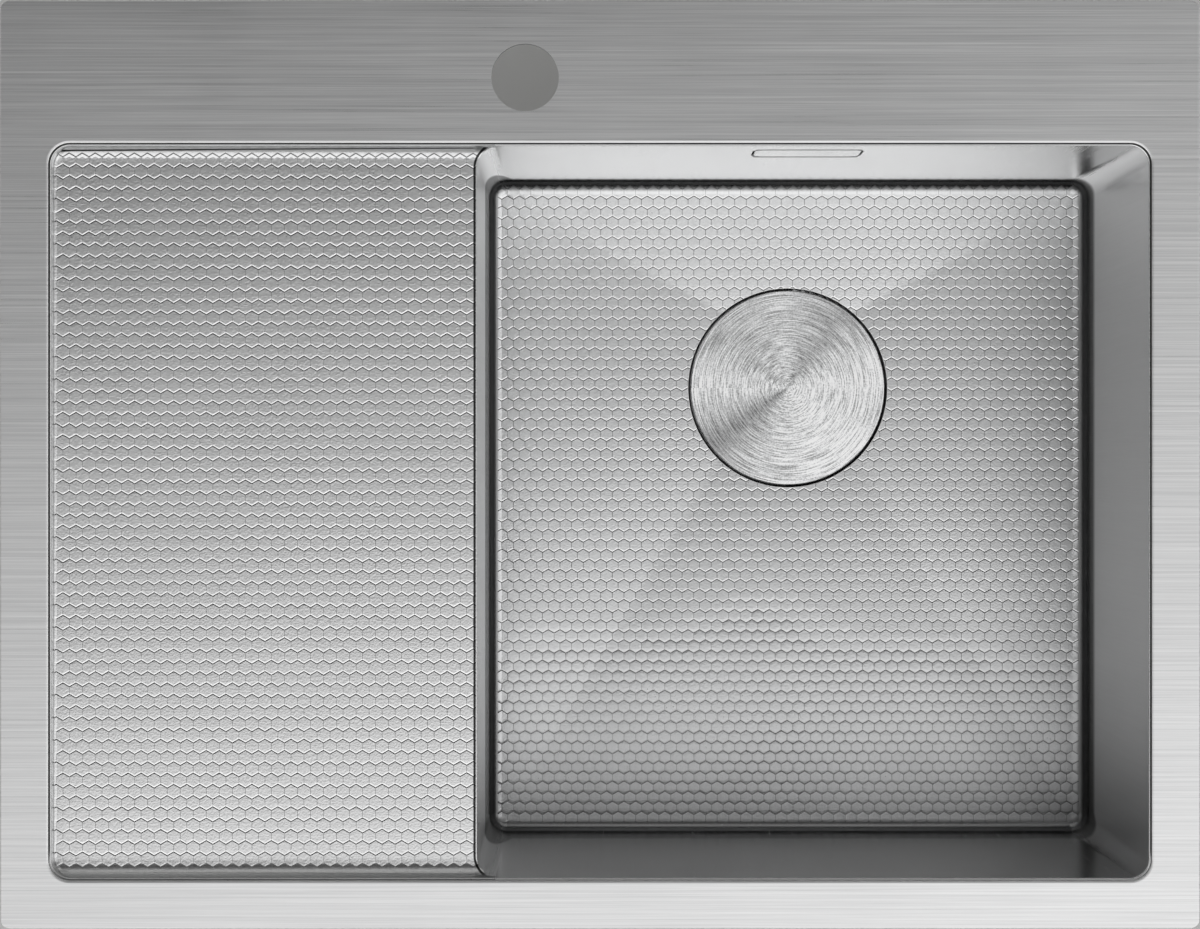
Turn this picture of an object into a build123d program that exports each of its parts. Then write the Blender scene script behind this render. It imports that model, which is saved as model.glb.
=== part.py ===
from build123d import *

import math
import os
from typing import NamedTuple

# Inset steel kitchen sink with a drainboard on the left and a bowl on the right.
# Millimetres, +Z up, +Y towards the tap ledge. The origin is the middle of the sink's outline,
# in the plane where the sealing strip rests on the worktop.

# The deck and its opening
sink_width = 620.0
sink_depth = 480.0
outer_corner = 5.0
side_margin = 25.0
front_margin = 25.0
tap_ledge = 74.0
opening_corner = 11.0
deck_sheet = 1.5
edge_rounding = 0.6
seal_sheet = 1.5
seal_setback = 3.0
seal_width = 8.0

# The tap hole and the plate that stiffens the ledge around it
tap_hole_radius = 17.5
tap_x = -38.7
tap_from_back = 40.0
stiffener_sheet = 2.0
stiffener_width = 100.0
stiffener_depth = 44.0

# The bowl
sheet = 1.0
reveal = 1.2
flange_width = 11.5
bowl_width = 348.0
bowl_depth = 200.0
bowl_corner = 10.0
floor_radius = 8.0
floor_fall = 5.0
crease_offset = 24.0
drain_from_back = 120.0
recess_seat = 13.2
recess_depth = 7.0
recess_bend = 2.0

# The drainboard
board_drop = 10.0
board_fall = 2.0
back_cove = 6.0
front_cove = 7.5
hat_width = 44.0
hat_flange = 11.0
hat_height = 12.0
hat_margin = 39.0
hat_places = (60.0, 150.0)

# Damping pads
pad_sheet = 2.0
pad_corner = 6.0
pad_above_floor = 30.0
pad_below_clips = 20.0
front_pad_margin = 54.0
side_pad_margin = 60.0
board_pad_gap = 2.0
board_pad_margin = 89.0
floor_pad_margin = 12.0
floor_pad_to_recess = 38.0

# The worktop clamps, each a bracket, a screw and a claw that the screw lifts
clip_setback = 24.0
clip_sheet = 1.5
clip_width = 18.0
clip_height = 47.0
clip_top_flange = 9.0
clip_foot = 10.5
clip_bend = 0.8
screw_place = 6.0
screw_radius = 2.5
screw_head_radius = 4.6
screw_head_height = 3.5
screw_top_gap = 8.0
claw_sheet = 2.0
claw_width = 16.0
claw_reach = 22.5
claw_tooth = 4.0
claw_tooth_count = 3
claw_boss_radius = 4.2
claw_boss_height = 3.0
worktop_thickness = 28.0
thread_gap = 0.08
front_clip_from_side = 135.0
back_clip_from_side = 100.0
clip_end_y = -40.0

# The overflow
overflow_width = 56.0
overflow_height = 32.0
overflow_corner = 6.0
overflow_drop = 39.5
overflow_gap = 1.2
overflow_lip = 0.5
gasket_sheet = 1.5
housing_flange_width = 84.0
housing_flange_height = 46.0
housing_flange_sheet = 2.5
housing_width = 64.0
housing_height = 40.0
housing_depth = 32.0
housing_wall = 2.2
housing_corner = 7.0
pillar_place = 18.0
pillar_radius = 3.4
cover_screw_radius = 2.0
cover_screw_length = 10.0
cover_screw_gap = 1.0
cover_screw_head = 3.8
cover_screw_head_height = 2.4
cover_screw_bevel = 0.8
stud_place = 36.5
stud_radius = 2.0
stud_length = 9.0
nut_radius = 4.0
nut_height = 3.2

# The overflow hose and its joints
spigot_radius = 13.0
spigot_bore = 8.5
spigot_length = 22.0
spigot_setback = 0.8
hose_bend = 40.0
nut_clearance = 3.5
hose_bore = 8.5
hose_cuff = 12.0
hose_crest = 12.2
hose_valley = 10.2
rib_pitch = 6.4
hose_flange_sheet = 2.0
washer_sheet = 1.5
hose_nut_wall = 3.2
hose_nut_grip = 12.0
hose_nut_lip = 3.0
hose_nut_ribs = 10
hose_nut_rib_width = 2.4
hose_nut_rib_height = 1.2
hose_nut_bevel = 1.0
hose_gap = 0.15

# The strainer in the floor's recess
cup_radius = 41.0
strainer_sheet = 1.2
cup_gap = 2.8
strainer_flange_gap = 2.2
strainer_gasket_sheet = 1.0
gasket_setback = 1.5
cup_depth = 30.0
cup_bend = 3.0
cup_lip = 1.0
outlet_setback = 15.0
hub_radius = 9.0
hub_height = 5.0
arm_width = 6.0
arm_count = 4
centre_screw_radius = 3.0
centre_screw_head = 5.5
centre_screw_reach = 25.0

# The waste pot under the bowl, on a funnel with a G 1 1/2 outlet
waste_gasket_sheet = 2.0
waste_flange_setback = 0.7
waste_flange_sheet = 4.0
pot_gap = 3.2
pot_wall = 2.6
pot_depth = 38.0
pot_cone = 11.0
outlet_spigot_radius = 23.9
outlet_bore = 20.0
outlet_length = 30.0
funnel_socket_wall = 2.0
funnel_socket_height = 4.0
pot_hub_radius = 8.0
pot_hub_gap = 3.0
pot_hub_height = 12.0
pot_arm_width = 3.0
inlet_drop = 20.0

# The basket, which lifts out
basket_gap = 0.6
basket_sheet = 0.8
basket_rim = 1.4
basket_height = 22.7
basket_taper = 8.0
basket_bend = 1.5
slot_count = 16
slot_width = 3.0
slot_height = 12.0
hole_radius = 2.2
hole_rings = ((19.0, 6), (9.5, 12))
seal_thickness = 3.0
seal_overlap = 4.0
seal_flare = 1.0
seat_gap = 0.3
post_radius = 3.0
post_gap = 0.05
collar_radius = 6.0
collar_height = 1.2
knob_radius = 9.0
knob_height = 3.0
knob_bevel = 1.0
knob_gap = 1.2

# The disc over the drain, on a ring of feet
cover_gap = 1.5
cover_sheet = 2.0
cover_bevel = 0.4
cover_below_rim = 0.6
cover_ring_setback = 6.5
cover_ring_width = 5.0
cover_ring_height = 2.0
foot_count = 6
foot_radius = 2.4


class Outline(NamedTuple):
    """A rectangle with round corners, seen from above."""

    left: float
    right: float
    front: float
    back: float
    corner: float

    def grown(self, by):
        return Outline(self.left - by, self.right + by, self.front - by, self.back + by, self.corner + by)

    def middle(self):
        return (self.left + self.right) / 2, (self.front + self.back) / 2

    def prism(self, low, high):
        x, y = self.middle()
        rectangle = RectangleRounded(self.right - self.left, self.back - self.front, self.corner)
        return Pos(x, y, low) * extrude(rectangle, high - low)


# Heights
deck_bottom = seal_sheet
deck_top = deck_bottom + deck_sheet
flange_bottom = deck_bottom - sheet
floor_z = deck_top - bowl_depth
apex_z = floor_z - floor_fall
recess_z = apex_z - recess_depth
pan_underside = recess_z - sheet

# Outlines
deck_outline = Outline(
    left=-sink_width / 2,
    right=sink_width / 2,
    front=-sink_depth / 2,
    back=sink_depth / 2,
    corner=outer_corner,
)
opening_outline = Outline(
    left=deck_outline.left + side_margin,
    right=deck_outline.right - side_margin,
    front=deck_outline.front + front_margin,
    back=deck_outline.back - tap_ledge,
    corner=opening_corner,
)
basin_outline = opening_outline.grown(-reveal)
bowl_outline = Outline(
    left=basin_outline.right - bowl_width,
    right=basin_outline.right,
    front=basin_outline.front,
    back=basin_outline.back,
    corner=bowl_corner,
)
bowl_x = bowl_outline.middle()[0]
drain_y = bowl_outline.back - drain_from_back
drain = Pos(bowl_x, drain_y, 0)
tap_y = deck_outline.back - tap_from_back
# The drainboard and the bowl are welded together here, where the bowl's round corner ends.
seam_x = bowl_outline.left + bowl_corner
far = sink_width + sink_depth

# The drainboard's plane
board_length = bowl_outline.left - basin_outline.left
board_angle = math.degrees(math.atan(board_fall / board_length))
board_frame = Location((basin_outline.left, 0, deck_top - board_drop), (0, board_angle, 0))

# The round pieces at the drain, from the cup outwards
cup_outside = cup_radius + strainer_sheet
recess_hole_radius = cup_outside + cup_gap
recess_radius = recess_hole_radius + recess_seat
strainer_flange_radius = recess_radius - strainer_flange_gap
strainer_gasket_inner = recess_hole_radius + gasket_setback
waste_flange_radius = recess_radius - waste_flange_setback
pot_radius = cup_outside + pot_gap + pot_wall
outlet_radius = cup_radius - outlet_setback
seal_radius = outlet_radius + seal_overlap
basket_bottom_radius = cup_radius - basket_taper
cover_radius = recess_radius - cover_gap
cover_ring_middle = strainer_flange_radius - cover_ring_setback

# The strainer's heights
flange_under = recess_z + strainer_gasket_sheet
flange_top = flange_under + strainer_sheet
cup_floor = flange_top - cup_depth
flange_clear = floor_fall * (1 - recess_radius / (bowl_width / 2 - bowl_corner))
cover_top = apex_z + floor_fall - flange_clear - cover_below_rim
cover_bottom = cover_top - cover_sheet

# The overflow's place, in the bowl's back wall
overflow_z = deck_top - overflow_drop
wall_back = bowl_outline.back + sheet
housing_face = wall_back + gasket_sheet
housing_back = housing_face + housing_depth
housing_bottom = overflow_z - housing_height / 2
hose_y = housing_back - spigot_radius - spigot_setback
hose_start_z = housing_bottom - spigot_length - washer_sheet
inlet_z = pan_underside - waste_gasket_sheet - inlet_drop
inlet_reach = waste_flange_radius + hose_nut_grip + nut_clearance
hose_end_y = drain_y + inlet_reach + washer_sheet


def slab(x_low, x_high, y_low, y_high, z_low, z_high):
    """A square-cornered block between its lowest and highest corners."""
    block = Box(x_high - x_low, y_high - y_low, z_high - z_low, align=Align.MIN)
    return Pos(x_low, y_low, z_low) * block


def post(radius, low, high):
    """An upright round bar between two heights."""
    bar = Cylinder(radius, high - low, align=(Align.CENTER, Align.CENTER, Align.MIN))
    return Pos(0, 0, low) * bar


def turned(*points):
    """A ring or cup turned about the upright axis from its half section of (radius, height) points."""
    section = make_face(Polyline(*[(radius, 0, height) for radius, height in points], close=True))
    return revolve(section, Axis.Z)


def around(count, piece, radius=0.0):
    """The same piece, repeated round the upright axis."""
    step = 360 / count
    return [Rot(0, 0, step * index) * Pos(radius, 0, 0) * piece for index in range(count)]


def edges_at(part, height, within):
    """The edges of a part that lie at one height and inside an outline."""
    found = []
    for edge in part.edges():
        box = edge.bounding_box()
        level = abs(box.min.Z - height) < 0.01 and abs(box.max.Z - height) < 0.01
        inside_x = box.min.X > within.left - 0.01 and box.max.X < within.right + 0.01
        inside_y = box.min.Y > within.front - 0.01 and box.max.Y < within.back + 0.01
        if level and inside_x and inside_y:
            found.append(edge)
    return found


def right_of_seam(part):
    return part & slab(seam_x, far, -far, far, -far, far)


def left_of_seam(part):
    return part & slab(-far, seam_x, -far, far, -far, far)


# The deck and what is welded or stuck to it


def make_deck_plate():
    """The flat frame with the opening and the tap hole, its edges slightly rounded."""
    deck = deck_outline.prism(deck_bottom, deck_top)
    deck -= opening_outline.prism(deck_bottom, deck_top)
    deck = fillet(deck.edges().group_by(Axis.Z)[-1], edge_rounding)
    return deck - Pos(tap_x, tap_y) * post(tap_hole_radius, deck_bottom, deck_top)


def make_tap_hole_stiffener():
    """The plate welded under the ledge around the tap hole."""
    outline = Outline(
        left=tap_x - stiffener_width / 2,
        right=tap_x + stiffener_width / 2,
        front=tap_y - stiffener_depth / 2,
        back=tap_y + stiffener_depth / 2,
        corner=outer_corner,
    )
    plate = outline.prism(deck_bottom - stiffener_sheet, deck_bottom)
    return plate - Pos(tap_x, tap_y) * post(tap_hole_radius, -far, far)


def make_sealing_strip():
    """The soft strip all round under the deck, which rests on the worktop."""
    outer = deck_outline.grown(-seal_setback)
    inner = outer.grown(-seal_width)._replace(corner=outer_corner)
    return outer.prism(0, deck_bottom) - inner.prism(0, deck_bottom)


def ledge():
    """The flange all round under the deck, which shows as a narrow ledge inside the opening."""
    outer = basin_outline.grown(flange_width).prism(flange_bottom, deck_bottom)
    return outer - basin_outline.prism(flange_bottom, deck_bottom)


# The bowl


def floor_fall_form():
    """The four flat slopes of the floor, which meet in creases that run to one low point."""
    low = bowl_outline.grown(-bowl_corner)
    corners = [
        Vector(low.left, low.front, floor_z),
        Vector(low.right, low.front, floor_z),
        Vector(low.right, low.back, floor_z),
        Vector(low.left, low.back, floor_z),
    ]
    apex = Vector(bowl_x, drain_y + crease_offset, apex_z)
    faces = [Face(Wire.make_polygon(corners))]
    for index in range(4):
        faces.append(Face(Wire.make_polygon([corners[index], corners[index - 1], apex])))
    return Part() + Solid(Shell(faces))


def bowl_form(grow):
    """The bowl's inside as a solid, or its outside when it is grown by the sheet."""
    form = bowl_outline.grown(grow).prism(floor_z - grow, deck_bottom)
    form = fillet(form.edges().group_by(Axis.Z)[0], floor_radius + grow)
    form += Pos(0, 0, -grow) * floor_fall_form()
    recess = post(recess_radius + grow, recess_z - grow, floor_z - grow)
    recess = fillet(recess.edges().group_by(Axis.Z)[0], recess_bend + grow)
    return form + drain * recess


def board_form(grow):
    """The space over the drainboard, or the drainboard's outside when it is grown by the sheet."""
    front = basin_outline.front - grow
    back = basin_outline.back + grow
    section = Polyline(
        (0, front, far),
        (0, front, -grow),
        (0, back, -grow),
        (0, back, far),
        close=True,
    )
    face = make_face(section)
    corners = face.vertices().group_by(Axis.Z)[0].sort_by(Axis.Y)
    face = fillet(corners[0], front_cove + grow)
    corners = face.vertices().sort_by(Axis.Y)
    corners = [corner for corner in corners if abs(corner.Z + grow) < 0.01 and corner.Y > back - 0.01]
    face = fillet(corners, back_cove + grow)
    trough = board_frame * Pos(-far, 0, 0) * extrude(face, 2 * far, dir=(1, 0, 0))
    return trough & basin_outline.grown(grow).prism(-far, deck_bottom)


def upright_plate(width, height, corner, y_front, y_back):
    """A flat piece with round corners that stands in the plane of the back wall, at the overflow."""
    plane = Plane((bowl_x, y_front, overflow_z), x_dir=(1, 0, 0), z_dir=(0, 1, 0))
    return extrude(plane * RectangleRounded(width, height, corner), y_back - y_front)


def overflow_opening():
    width = overflow_width + 2 * overflow_gap
    height = overflow_height + 2 * overflow_gap
    return upright_plate(width, height, overflow_corner + overflow_gap, wall_back - sheet, wall_back)


def make_bowl():
    """The bowl with its ledge, its creased floor, the recess for the strainer and the overflow."""
    bowl = bowl_form(sheet) - bowl_form(0)
    bowl -= drain * post(recess_hole_radius, -far, apex_z)
    bowl -= left_of_seam(board_form(sheet))
    bowl += right_of_seam(ledge())
    bowl = fillet(edges_at(bowl, deck_bottom, right_part(basin_outline)), edge_rounding)
    opening = overflow_opening()
    bowl -= opening
    lip = [edge for edge in bowl.edges() if on_overflow_edge(edge, bowl_outline.back, overflow_gap)]
    return fillet(lip, overflow_lip)


def right_part(outline):
    return outline._replace(left=seam_x)


def left_part(outline):
    return outline._replace(right=seam_x)


def on_overflow_edge(edge, y, spare):
    """Whether an edge lies in one upright plane, within the overflow's outline."""
    box = edge.bounding_box()
    in_plane = abs(box.min.Y - y) < 0.01 and abs(box.max.Y - y) < 0.01
    half_width = overflow_width / 2 + spare + 0.01
    half_height = overflow_height / 2 + spare + 0.01
    inside_x = abs(box.min.X - bowl_x) < half_width and abs(box.max.X - bowl_x) < half_width
    inside_z = abs(box.min.Z - overflow_z) < half_height and abs(box.max.Z - overflow_z) < half_height
    return in_plane and inside_x and inside_z


# The drainboard


def make_drainboard():
    """The shallow tray, folded up in coves at the front and back and cut round the bowl's corners."""
    board = left_of_seam(board_form(sheet) - board_form(0))
    board -= bowl_outline.prism(-far, far)
    board += left_of_seam(ledge())
    return fillet(edges_at(board, deck_bottom, left_part(basin_outline)), edge_rounding)


def make_drainboard_stiffeners():
    """Two hat-section bars welded under the drainboard."""
    half = hat_width / 2
    crown = half - hat_flange
    outer = [(-half, 0), (half, 0), (half, -sheet), (crown, -sheet), (crown, -hat_height)]
    outer += [(-crown, -hat_height), (-crown, -sheet), (-half, -sheet)]
    inner = [(-crown + sheet, 0), (crown - sheet, 0), (crown - sheet, sheet - hat_height)]
    inner += [(sheet - crown, sheet - hat_height)]
    back = basin_outline.back - hat_margin
    length = back - basin_outline.front - hat_margin
    shape = upright_section(outer) - upright_section(inner)
    bar = Pos(0, back, 0) * extrude(shape, length, dir=(0, -1, 0))
    return [board_frame * Pos(place, 0, -sheet) * bar for place in hat_places]


def upright_section(points):
    """A face in the XZ plane from its (x, z) points."""
    return make_face(Polyline(*[(x, 0, z) for x, z in points], close=True))


def make_sound_pads():
    """Damping pads on the walls and under the floor and the drainboard."""
    low = floor_z + pad_above_floor
    high = deck_top - clip_height - pad_below_clips
    front = bowl_outline.front - sheet
    right = bowl_outline.right + sheet
    left = bowl_outline.left - sheet
    half_width = bowl_width / 2 - front_pad_margin
    y_low = bowl_outline.front + side_pad_margin
    y_high = bowl_outline.back - side_pad_margin
    front_pad = slab(bowl_x - half_width, bowl_x + half_width, front - pad_sheet, front, low, high)
    right_pad = slab(right, right + pad_sheet, y_low, y_high, low, high)
    left_pad = slab(left - pad_sheet, left, y_low, y_high, low, high)
    pads = [rounded_pad(front_pad, Axis.Y), rounded_pad(right_pad, Axis.X), rounded_pad(left_pad, Axis.X)]
    pads.append(floor_pad())
    x_low = hat_places[0] + hat_width / 2 + board_pad_gap
    x_high = hat_places[1] - hat_width / 2 - board_pad_gap
    y_low = basin_outline.front + board_pad_margin
    y_high = basin_outline.back - board_pad_margin
    board_pad = slab(x_low, x_high, y_low, y_high, -sheet - pad_sheet, -sheet)
    pads.append(board_frame * rounded_pad(board_pad, Axis.Z))
    return pads


def rounded_pad(pad, axis):
    return fillet(pad.edges().filter_by(axis), pad_corner)


def floor_pad():
    """The pad under the floor's front slope, narrower towards the drain as the slope is."""
    base = bowl_outline.grown(-bowl_corner)
    length = drain_y + crease_offset - base.front
    slope = math.degrees(math.atan(floor_fall / length))
    near = floor_pad_margin
    inner = drain_y - recess_radius - floor_pad_to_recess - base.front
    spread = (base.right - base.left) / 2 / length
    near_half = (length - near) * spread - floor_pad_margin
    inner_half = (length - inner) * spread - floor_pad_margin
    outline = Polyline(
        (-near_half, near),
        (near_half, near),
        (inner_half, inner),
        (-inner_half, inner),
        close=True,
    )
    face = fillet(make_face(outline).vertices(), pad_corner)
    place = Location((bowl_x, base.front, floor_z - sheet), (-slope, 0, 0))
    return place * Pos(0, 0, -pad_sheet) * extrude(face, pad_sheet)


# The worktop clamps


def clip_places():
    """Where each clamp hangs, with its own +X axis pointing out of the sink."""
    ledge_z = flange_bottom
    front_x = deck_outline.right - front_clip_from_side
    back_x = deck_outline.right - back_clip_from_side
    right = deck_outline.right - clip_setback
    front = deck_outline.front + clip_setback
    back = deck_outline.back - clip_setback
    return [
        Location((front_x, front, ledge_z), (0, 0, -90)),
        Location((-front_x, front, ledge_z), (0, 0, -90)),
        Location((right, clip_end_y, ledge_z), (0, 0, 0)),
        Location((-right, clip_end_y, ledge_z), (0, 0, 180)),
        Location((back_x, back, deck_bottom), (0, 0, 90)),
        Location((-back_x, back, deck_bottom), (0, 0, 90)),
    ]


def clip_bracket():
    """A folded strap that hangs under the ledge, with a foot that carries the screw."""
    foot = -clip_height
    inner = clip_sheet
    outline = [(0, 0), (clip_top_flange, 0), (clip_top_flange, -inner), (inner, -inner)]
    outline += [(inner, foot + inner), (clip_foot, foot + inner), (clip_foot, foot), (0, foot)]
    face = upright_section(outline)
    outside = [corner for corner in face.vertices() if abs(corner.X) < 0.01]
    face = fillet(outside, clip_bend + clip_sheet)
    inside = [corner for corner in face.vertices() if is_inner_bend(corner)]
    face = fillet(inside, clip_bend)
    strap = Pos(0, clip_width / 2, 0) * extrude(face, clip_width, dir=(0, -1, 0))
    return strap - Pos(screw_place, 0) * post(screw_radius + 2 * thread_gap, foot, foot + inner)


def is_inner_bend(corner):
    near_web = abs(corner.X - clip_sheet) < 0.01
    near_fold = abs(corner.Z + clip_sheet) < 0.01 or abs(corner.Z - clip_sheet + clip_height) < 0.01
    return near_web and near_fold


def clip_screw():
    """A hexagon-headed screw that stands in the bracket's foot."""
    shank = post(screw_radius, -clip_height, -screw_top_gap)
    head = extrude(RegularPolygon(screw_head_radius, 6), screw_head_height)
    return Pos(screw_place, 0) * (shank + Pos(0, 0, -clip_height - screw_head_height) * head)


def clip_claw():
    """A plate on the screw that reaches out under the worktop, with teeth that grip it."""
    tooth_top = -worktop_thickness - flange_bottom
    plate_top = tooth_top - claw_tooth
    plate_bottom = plate_top - claw_sheet
    half = claw_width / 2
    plate = slab(clip_sheet + seat_gap, claw_reach, -half, half, plate_bottom, plate_top)
    plate += slab(claw_reach - claw_sheet, claw_reach, -half, half, plate_bottom, tooth_top)
    boss_top = plate_top + claw_boss_height
    plate += Pos(screw_place, 0) * post(claw_boss_radius, plate_bottom, boss_top)
    notch_width = claw_width / (2 * claw_tooth_count - 1)
    for index in range(claw_tooth_count - 1):
        middle = notch_width * (2 * index - claw_tooth_count + 2)
        low = tooth_top - claw_tooth / 2
        plate -= slab(0, far, middle - notch_width / 2, middle + notch_width / 2, low, far)
    plate -= slab(0, clip_sheet + seat_gap, -half, half, plate_bottom, boss_top)
    return plate - Pos(screw_place, 0) * post(screw_radius + thread_gap, plate_bottom, boss_top)


# The overflow


def make_overflow_cover():
    """The plate in the overflow's opening, on two tapped pillars."""
    front = bowl_outline.back
    plate = upright_plate(overflow_width, overflow_height, overflow_corner, front, front + sheet)
    edge = [edge for edge in plate.edges() if on_overflow_edge(edge, front, 0)]
    cover = fillet(edge, overflow_lip)
    back = housing_back - housing_wall
    for side in (-1, 1):
        cover += lying_bar(side * pillar_place, pillar_radius, front + sheet, back)
        cover -= lying_bar(side * pillar_place, cover_screw_radius, back - cover_screw_length, back)
    return cover


def lying_bar(x, radius, y_low, y_high):
    """A round bar along Y at the overflow's height, x from the bowl's middle."""
    bar = Cylinder(radius, y_high - y_low, align=(Align.CENTER, Align.CENTER, Align.MIN))
    return Location((bowl_x + x, y_high, overflow_z), (90, 0, 0)) * bar


def make_overflow_gasket():
    """The soft ring between the bowl's wall and the housing's flange."""
    gasket = upright_plate(
        housing_flange_width, housing_flange_height, housing_corner, wall_back, housing_face
    )
    gasket -= upright_plate(
        overflow_width + 2 * overflow_gap,
        overflow_height + 2 * overflow_gap,
        overflow_corner + overflow_gap,
        wall_back,
        housing_face,
    )
    for side in (-1, 1):
        gasket -= lying_bar(side * stud_place, stud_radius + hose_gap, wall_back, housing_face)
    return gasket


def make_overflow_housing():
    """The moulded box behind the overflow, with a flange towards the wall and a spigot below."""
    housing = upright_plate(housing_width, housing_height, housing_corner, housing_face, housing_back)
    rear = housing.faces().sort_by(Axis.Y)[-1]
    housing = fillet(rear.edges(), housing_corner / 2)
    flange_back = housing_face + housing_flange_sheet
    housing += upright_plate(
        housing_flange_width, housing_flange_height, housing_corner, housing_face, flange_back
    )
    spigot = Pos(bowl_x, hose_y) * post(spigot_radius, housing_bottom - spigot_length, overflow_z)
    spigot &= slab(-far, far, -far, housing_back, -far, far)
    housing += spigot
    inner_width = housing_width - 2 * housing_wall
    inner_height = housing_height - 2 * housing_wall
    inner_back = housing_back - housing_wall
    inner_corner = housing_corner - housing_wall
    housing -= upright_plate(inner_width, inner_height, inner_corner, housing_face, inner_back)
    housing -= Pos(bowl_x, hose_y) * post(spigot_bore, -far, overflow_z)
    for side in (-1, 1):
        housing -= lying_bar(side * stud_place, stud_radius + hose_gap, housing_face, flange_back)
        housing -= lying_bar(side * pillar_place, cover_screw_radius + hose_gap, inner_back, housing_back)
    return housing


def make_overflow_studs():
    """Two studs welded to the back of the wall, which carry the housing."""
    return [lying_bar(side * stud_place, stud_radius, wall_back, wall_back + stud_length) for side in (-1, 1)]


def make_overflow_nuts():
    """The nuts that hold the housing's flange on the studs."""
    flange_back = housing_face + housing_flange_sheet
    nut = extrude(RegularPolygon(nut_radius, 6) - Circle(stud_radius), nut_height)
    nuts = []
    for side in (-1, 1):
        place = Location((bowl_x + side * stud_place, flange_back + nut_height, overflow_z), (90, 0, 0))
        nuts.append(place * nut)
    return nuts


def make_overflow_cover_screws():
    """The screws behind the housing that hold the cover's pillars."""
    inner_back = housing_back - housing_wall
    screws = []
    for side in (-1, 1):
        x = side * pillar_place
        tip = inner_back - cover_screw_length + cover_screw_gap
        shank = lying_bar(x, cover_screw_radius, tip, housing_back)
        head = lying_bar(x, cover_screw_head, housing_back, housing_back + cover_screw_head_height)
        screws.append(shank + chamfer(head.edges().group_by(Axis.Y)[-1], cover_screw_bevel))
    return screws


# The overflow hose


def hose_plane(distance):
    """The plane across the hose at a distance along its middle line, down and then forwards."""
    down = hose_start_z - (inlet_z + hose_bend)
    arc = hose_bend * math.pi / 2
    if distance <= down:
        origin = (bowl_x, hose_y, hose_start_z - distance)
        return Plane(origin, x_dir=(1, 0, 0), z_dir=(0, 0, -1))
    if distance >= down + arc:
        origin = (bowl_x, hose_y - hose_bend - (distance - down - arc), inlet_z)
        return Plane(origin, x_dir=(1, 0, 0), z_dir=(0, -1, 0))
    turn = (distance - down) / hose_bend
    y = hose_y - hose_bend + hose_bend * math.cos(turn)
    z = inlet_z + hose_bend - hose_bend * math.sin(turn)
    return Plane((bowl_x, y, z), x_dir=(1, 0, 0), z_dir=(0, -math.sin(turn), -math.cos(turn)))


def hose_length():
    down = hose_start_z - (inlet_z + hose_bend)
    return down + hose_bend * math.pi / 2 + hose_y - hose_bend - hose_end_y


def make_overflow_hose():
    """The ribbed hose, with a smooth cuff and a flange at each end."""
    length = hose_length()
    straight = 2 * hose_cuff
    rib_count = int((length - 2 * straight) / rib_pitch)
    first = (length - rib_count * rib_pitch) / 2
    step = rib_pitch / 4
    outside = [(0, hose_cuff), (first - step, hose_cuff)]
    for index in range(rib_count):
        start = first + index * rib_pitch
        outside.append((start, hose_valley))
        outside.append((start + step, hose_crest))
        outside.append((start + 2 * step, hose_crest))
        outside.append((start + 3 * step, hose_valley))
    outside += [(length - first, hose_cuff), (length, hose_cuff)]
    inside = [(0, hose_bore)]
    inside += [(first + index * rib_pitch, hose_bore) for index in range(0, rib_count + 1, 2)]
    inside += [(length, hose_bore)]
    hose = hose_loft(outside)
    hose += extrude(hose_plane(0) * Circle(spigot_radius), hose_flange_sheet)
    hose += extrude(hose_plane(length) * Circle(spigot_radius), -hose_flange_sheet)
    return hose - hose_loft(inside)


def hose_loft(stations):
    """A round form along the hose's middle line through (distance, radius) stations."""
    sections = [hose_plane(distance) * Circle(radius) for distance, radius in stations]
    return loft(sections, ruled=True)


def hose_nut():
    """A ribbed union nut about the Z axis, from its mouth at z = 0 to the lip that holds the hose."""
    lip_start = hose_nut_grip + washer_sheet + hose_flange_sheet + hose_gap
    outer = spigot_radius + hose_nut_wall
    nut = post(outer, 0, lip_start + hose_nut_lip)
    nut = chamfer(nut.edges().group_by(Axis.Z)[-1], hose_nut_bevel)
    half = hose_nut_rib_width / 2
    rib_top = lip_start + hose_nut_lip - 2 * hose_nut_bevel
    rib = slab(outer - hose_nut_bevel, outer + hose_nut_rib_height, -half, half, hose_nut_bevel, rib_top)
    nut += around(hose_nut_ribs, rib)
    nut -= post(spigot_radius + hose_gap, 0, lip_start)
    return nut - post(hose_cuff + hose_gap, 0, far)


def make_hose_nuts():
    """The two union nuts, at the housing's spigot and at the waste's inlet."""
    upper = Location((bowl_x, hose_y, hose_start_z + washer_sheet + hose_nut_grip), (180, 0, 0))
    lower = Location((bowl_x, hose_end_y - washer_sheet - hose_nut_grip, inlet_z), (-90, 0, 0))
    return [upper * hose_nut(), lower * hose_nut()]


def make_hose_washers():
    """The flat washers between the hose's flanges and the two spigots."""
    ring = extrude(Circle(spigot_radius) - Circle(spigot_bore), washer_sheet)
    upper = Location((bowl_x, hose_y, hose_start_z), (0, 0, 0))
    lower = Location((bowl_x, hose_end_y, inlet_z), (90, 0, 0))
    return [upper * ring, lower * ring]


# The strainer and the waste


def make_strainer_gasket():
    """The soft ring under the strainer's flange."""
    low, high = recess_z, flange_under
    inner, outer = strainer_gasket_inner, strainer_flange_radius
    return drain * turned((inner, low), (outer, low), (outer, high), (inner, high))


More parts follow.
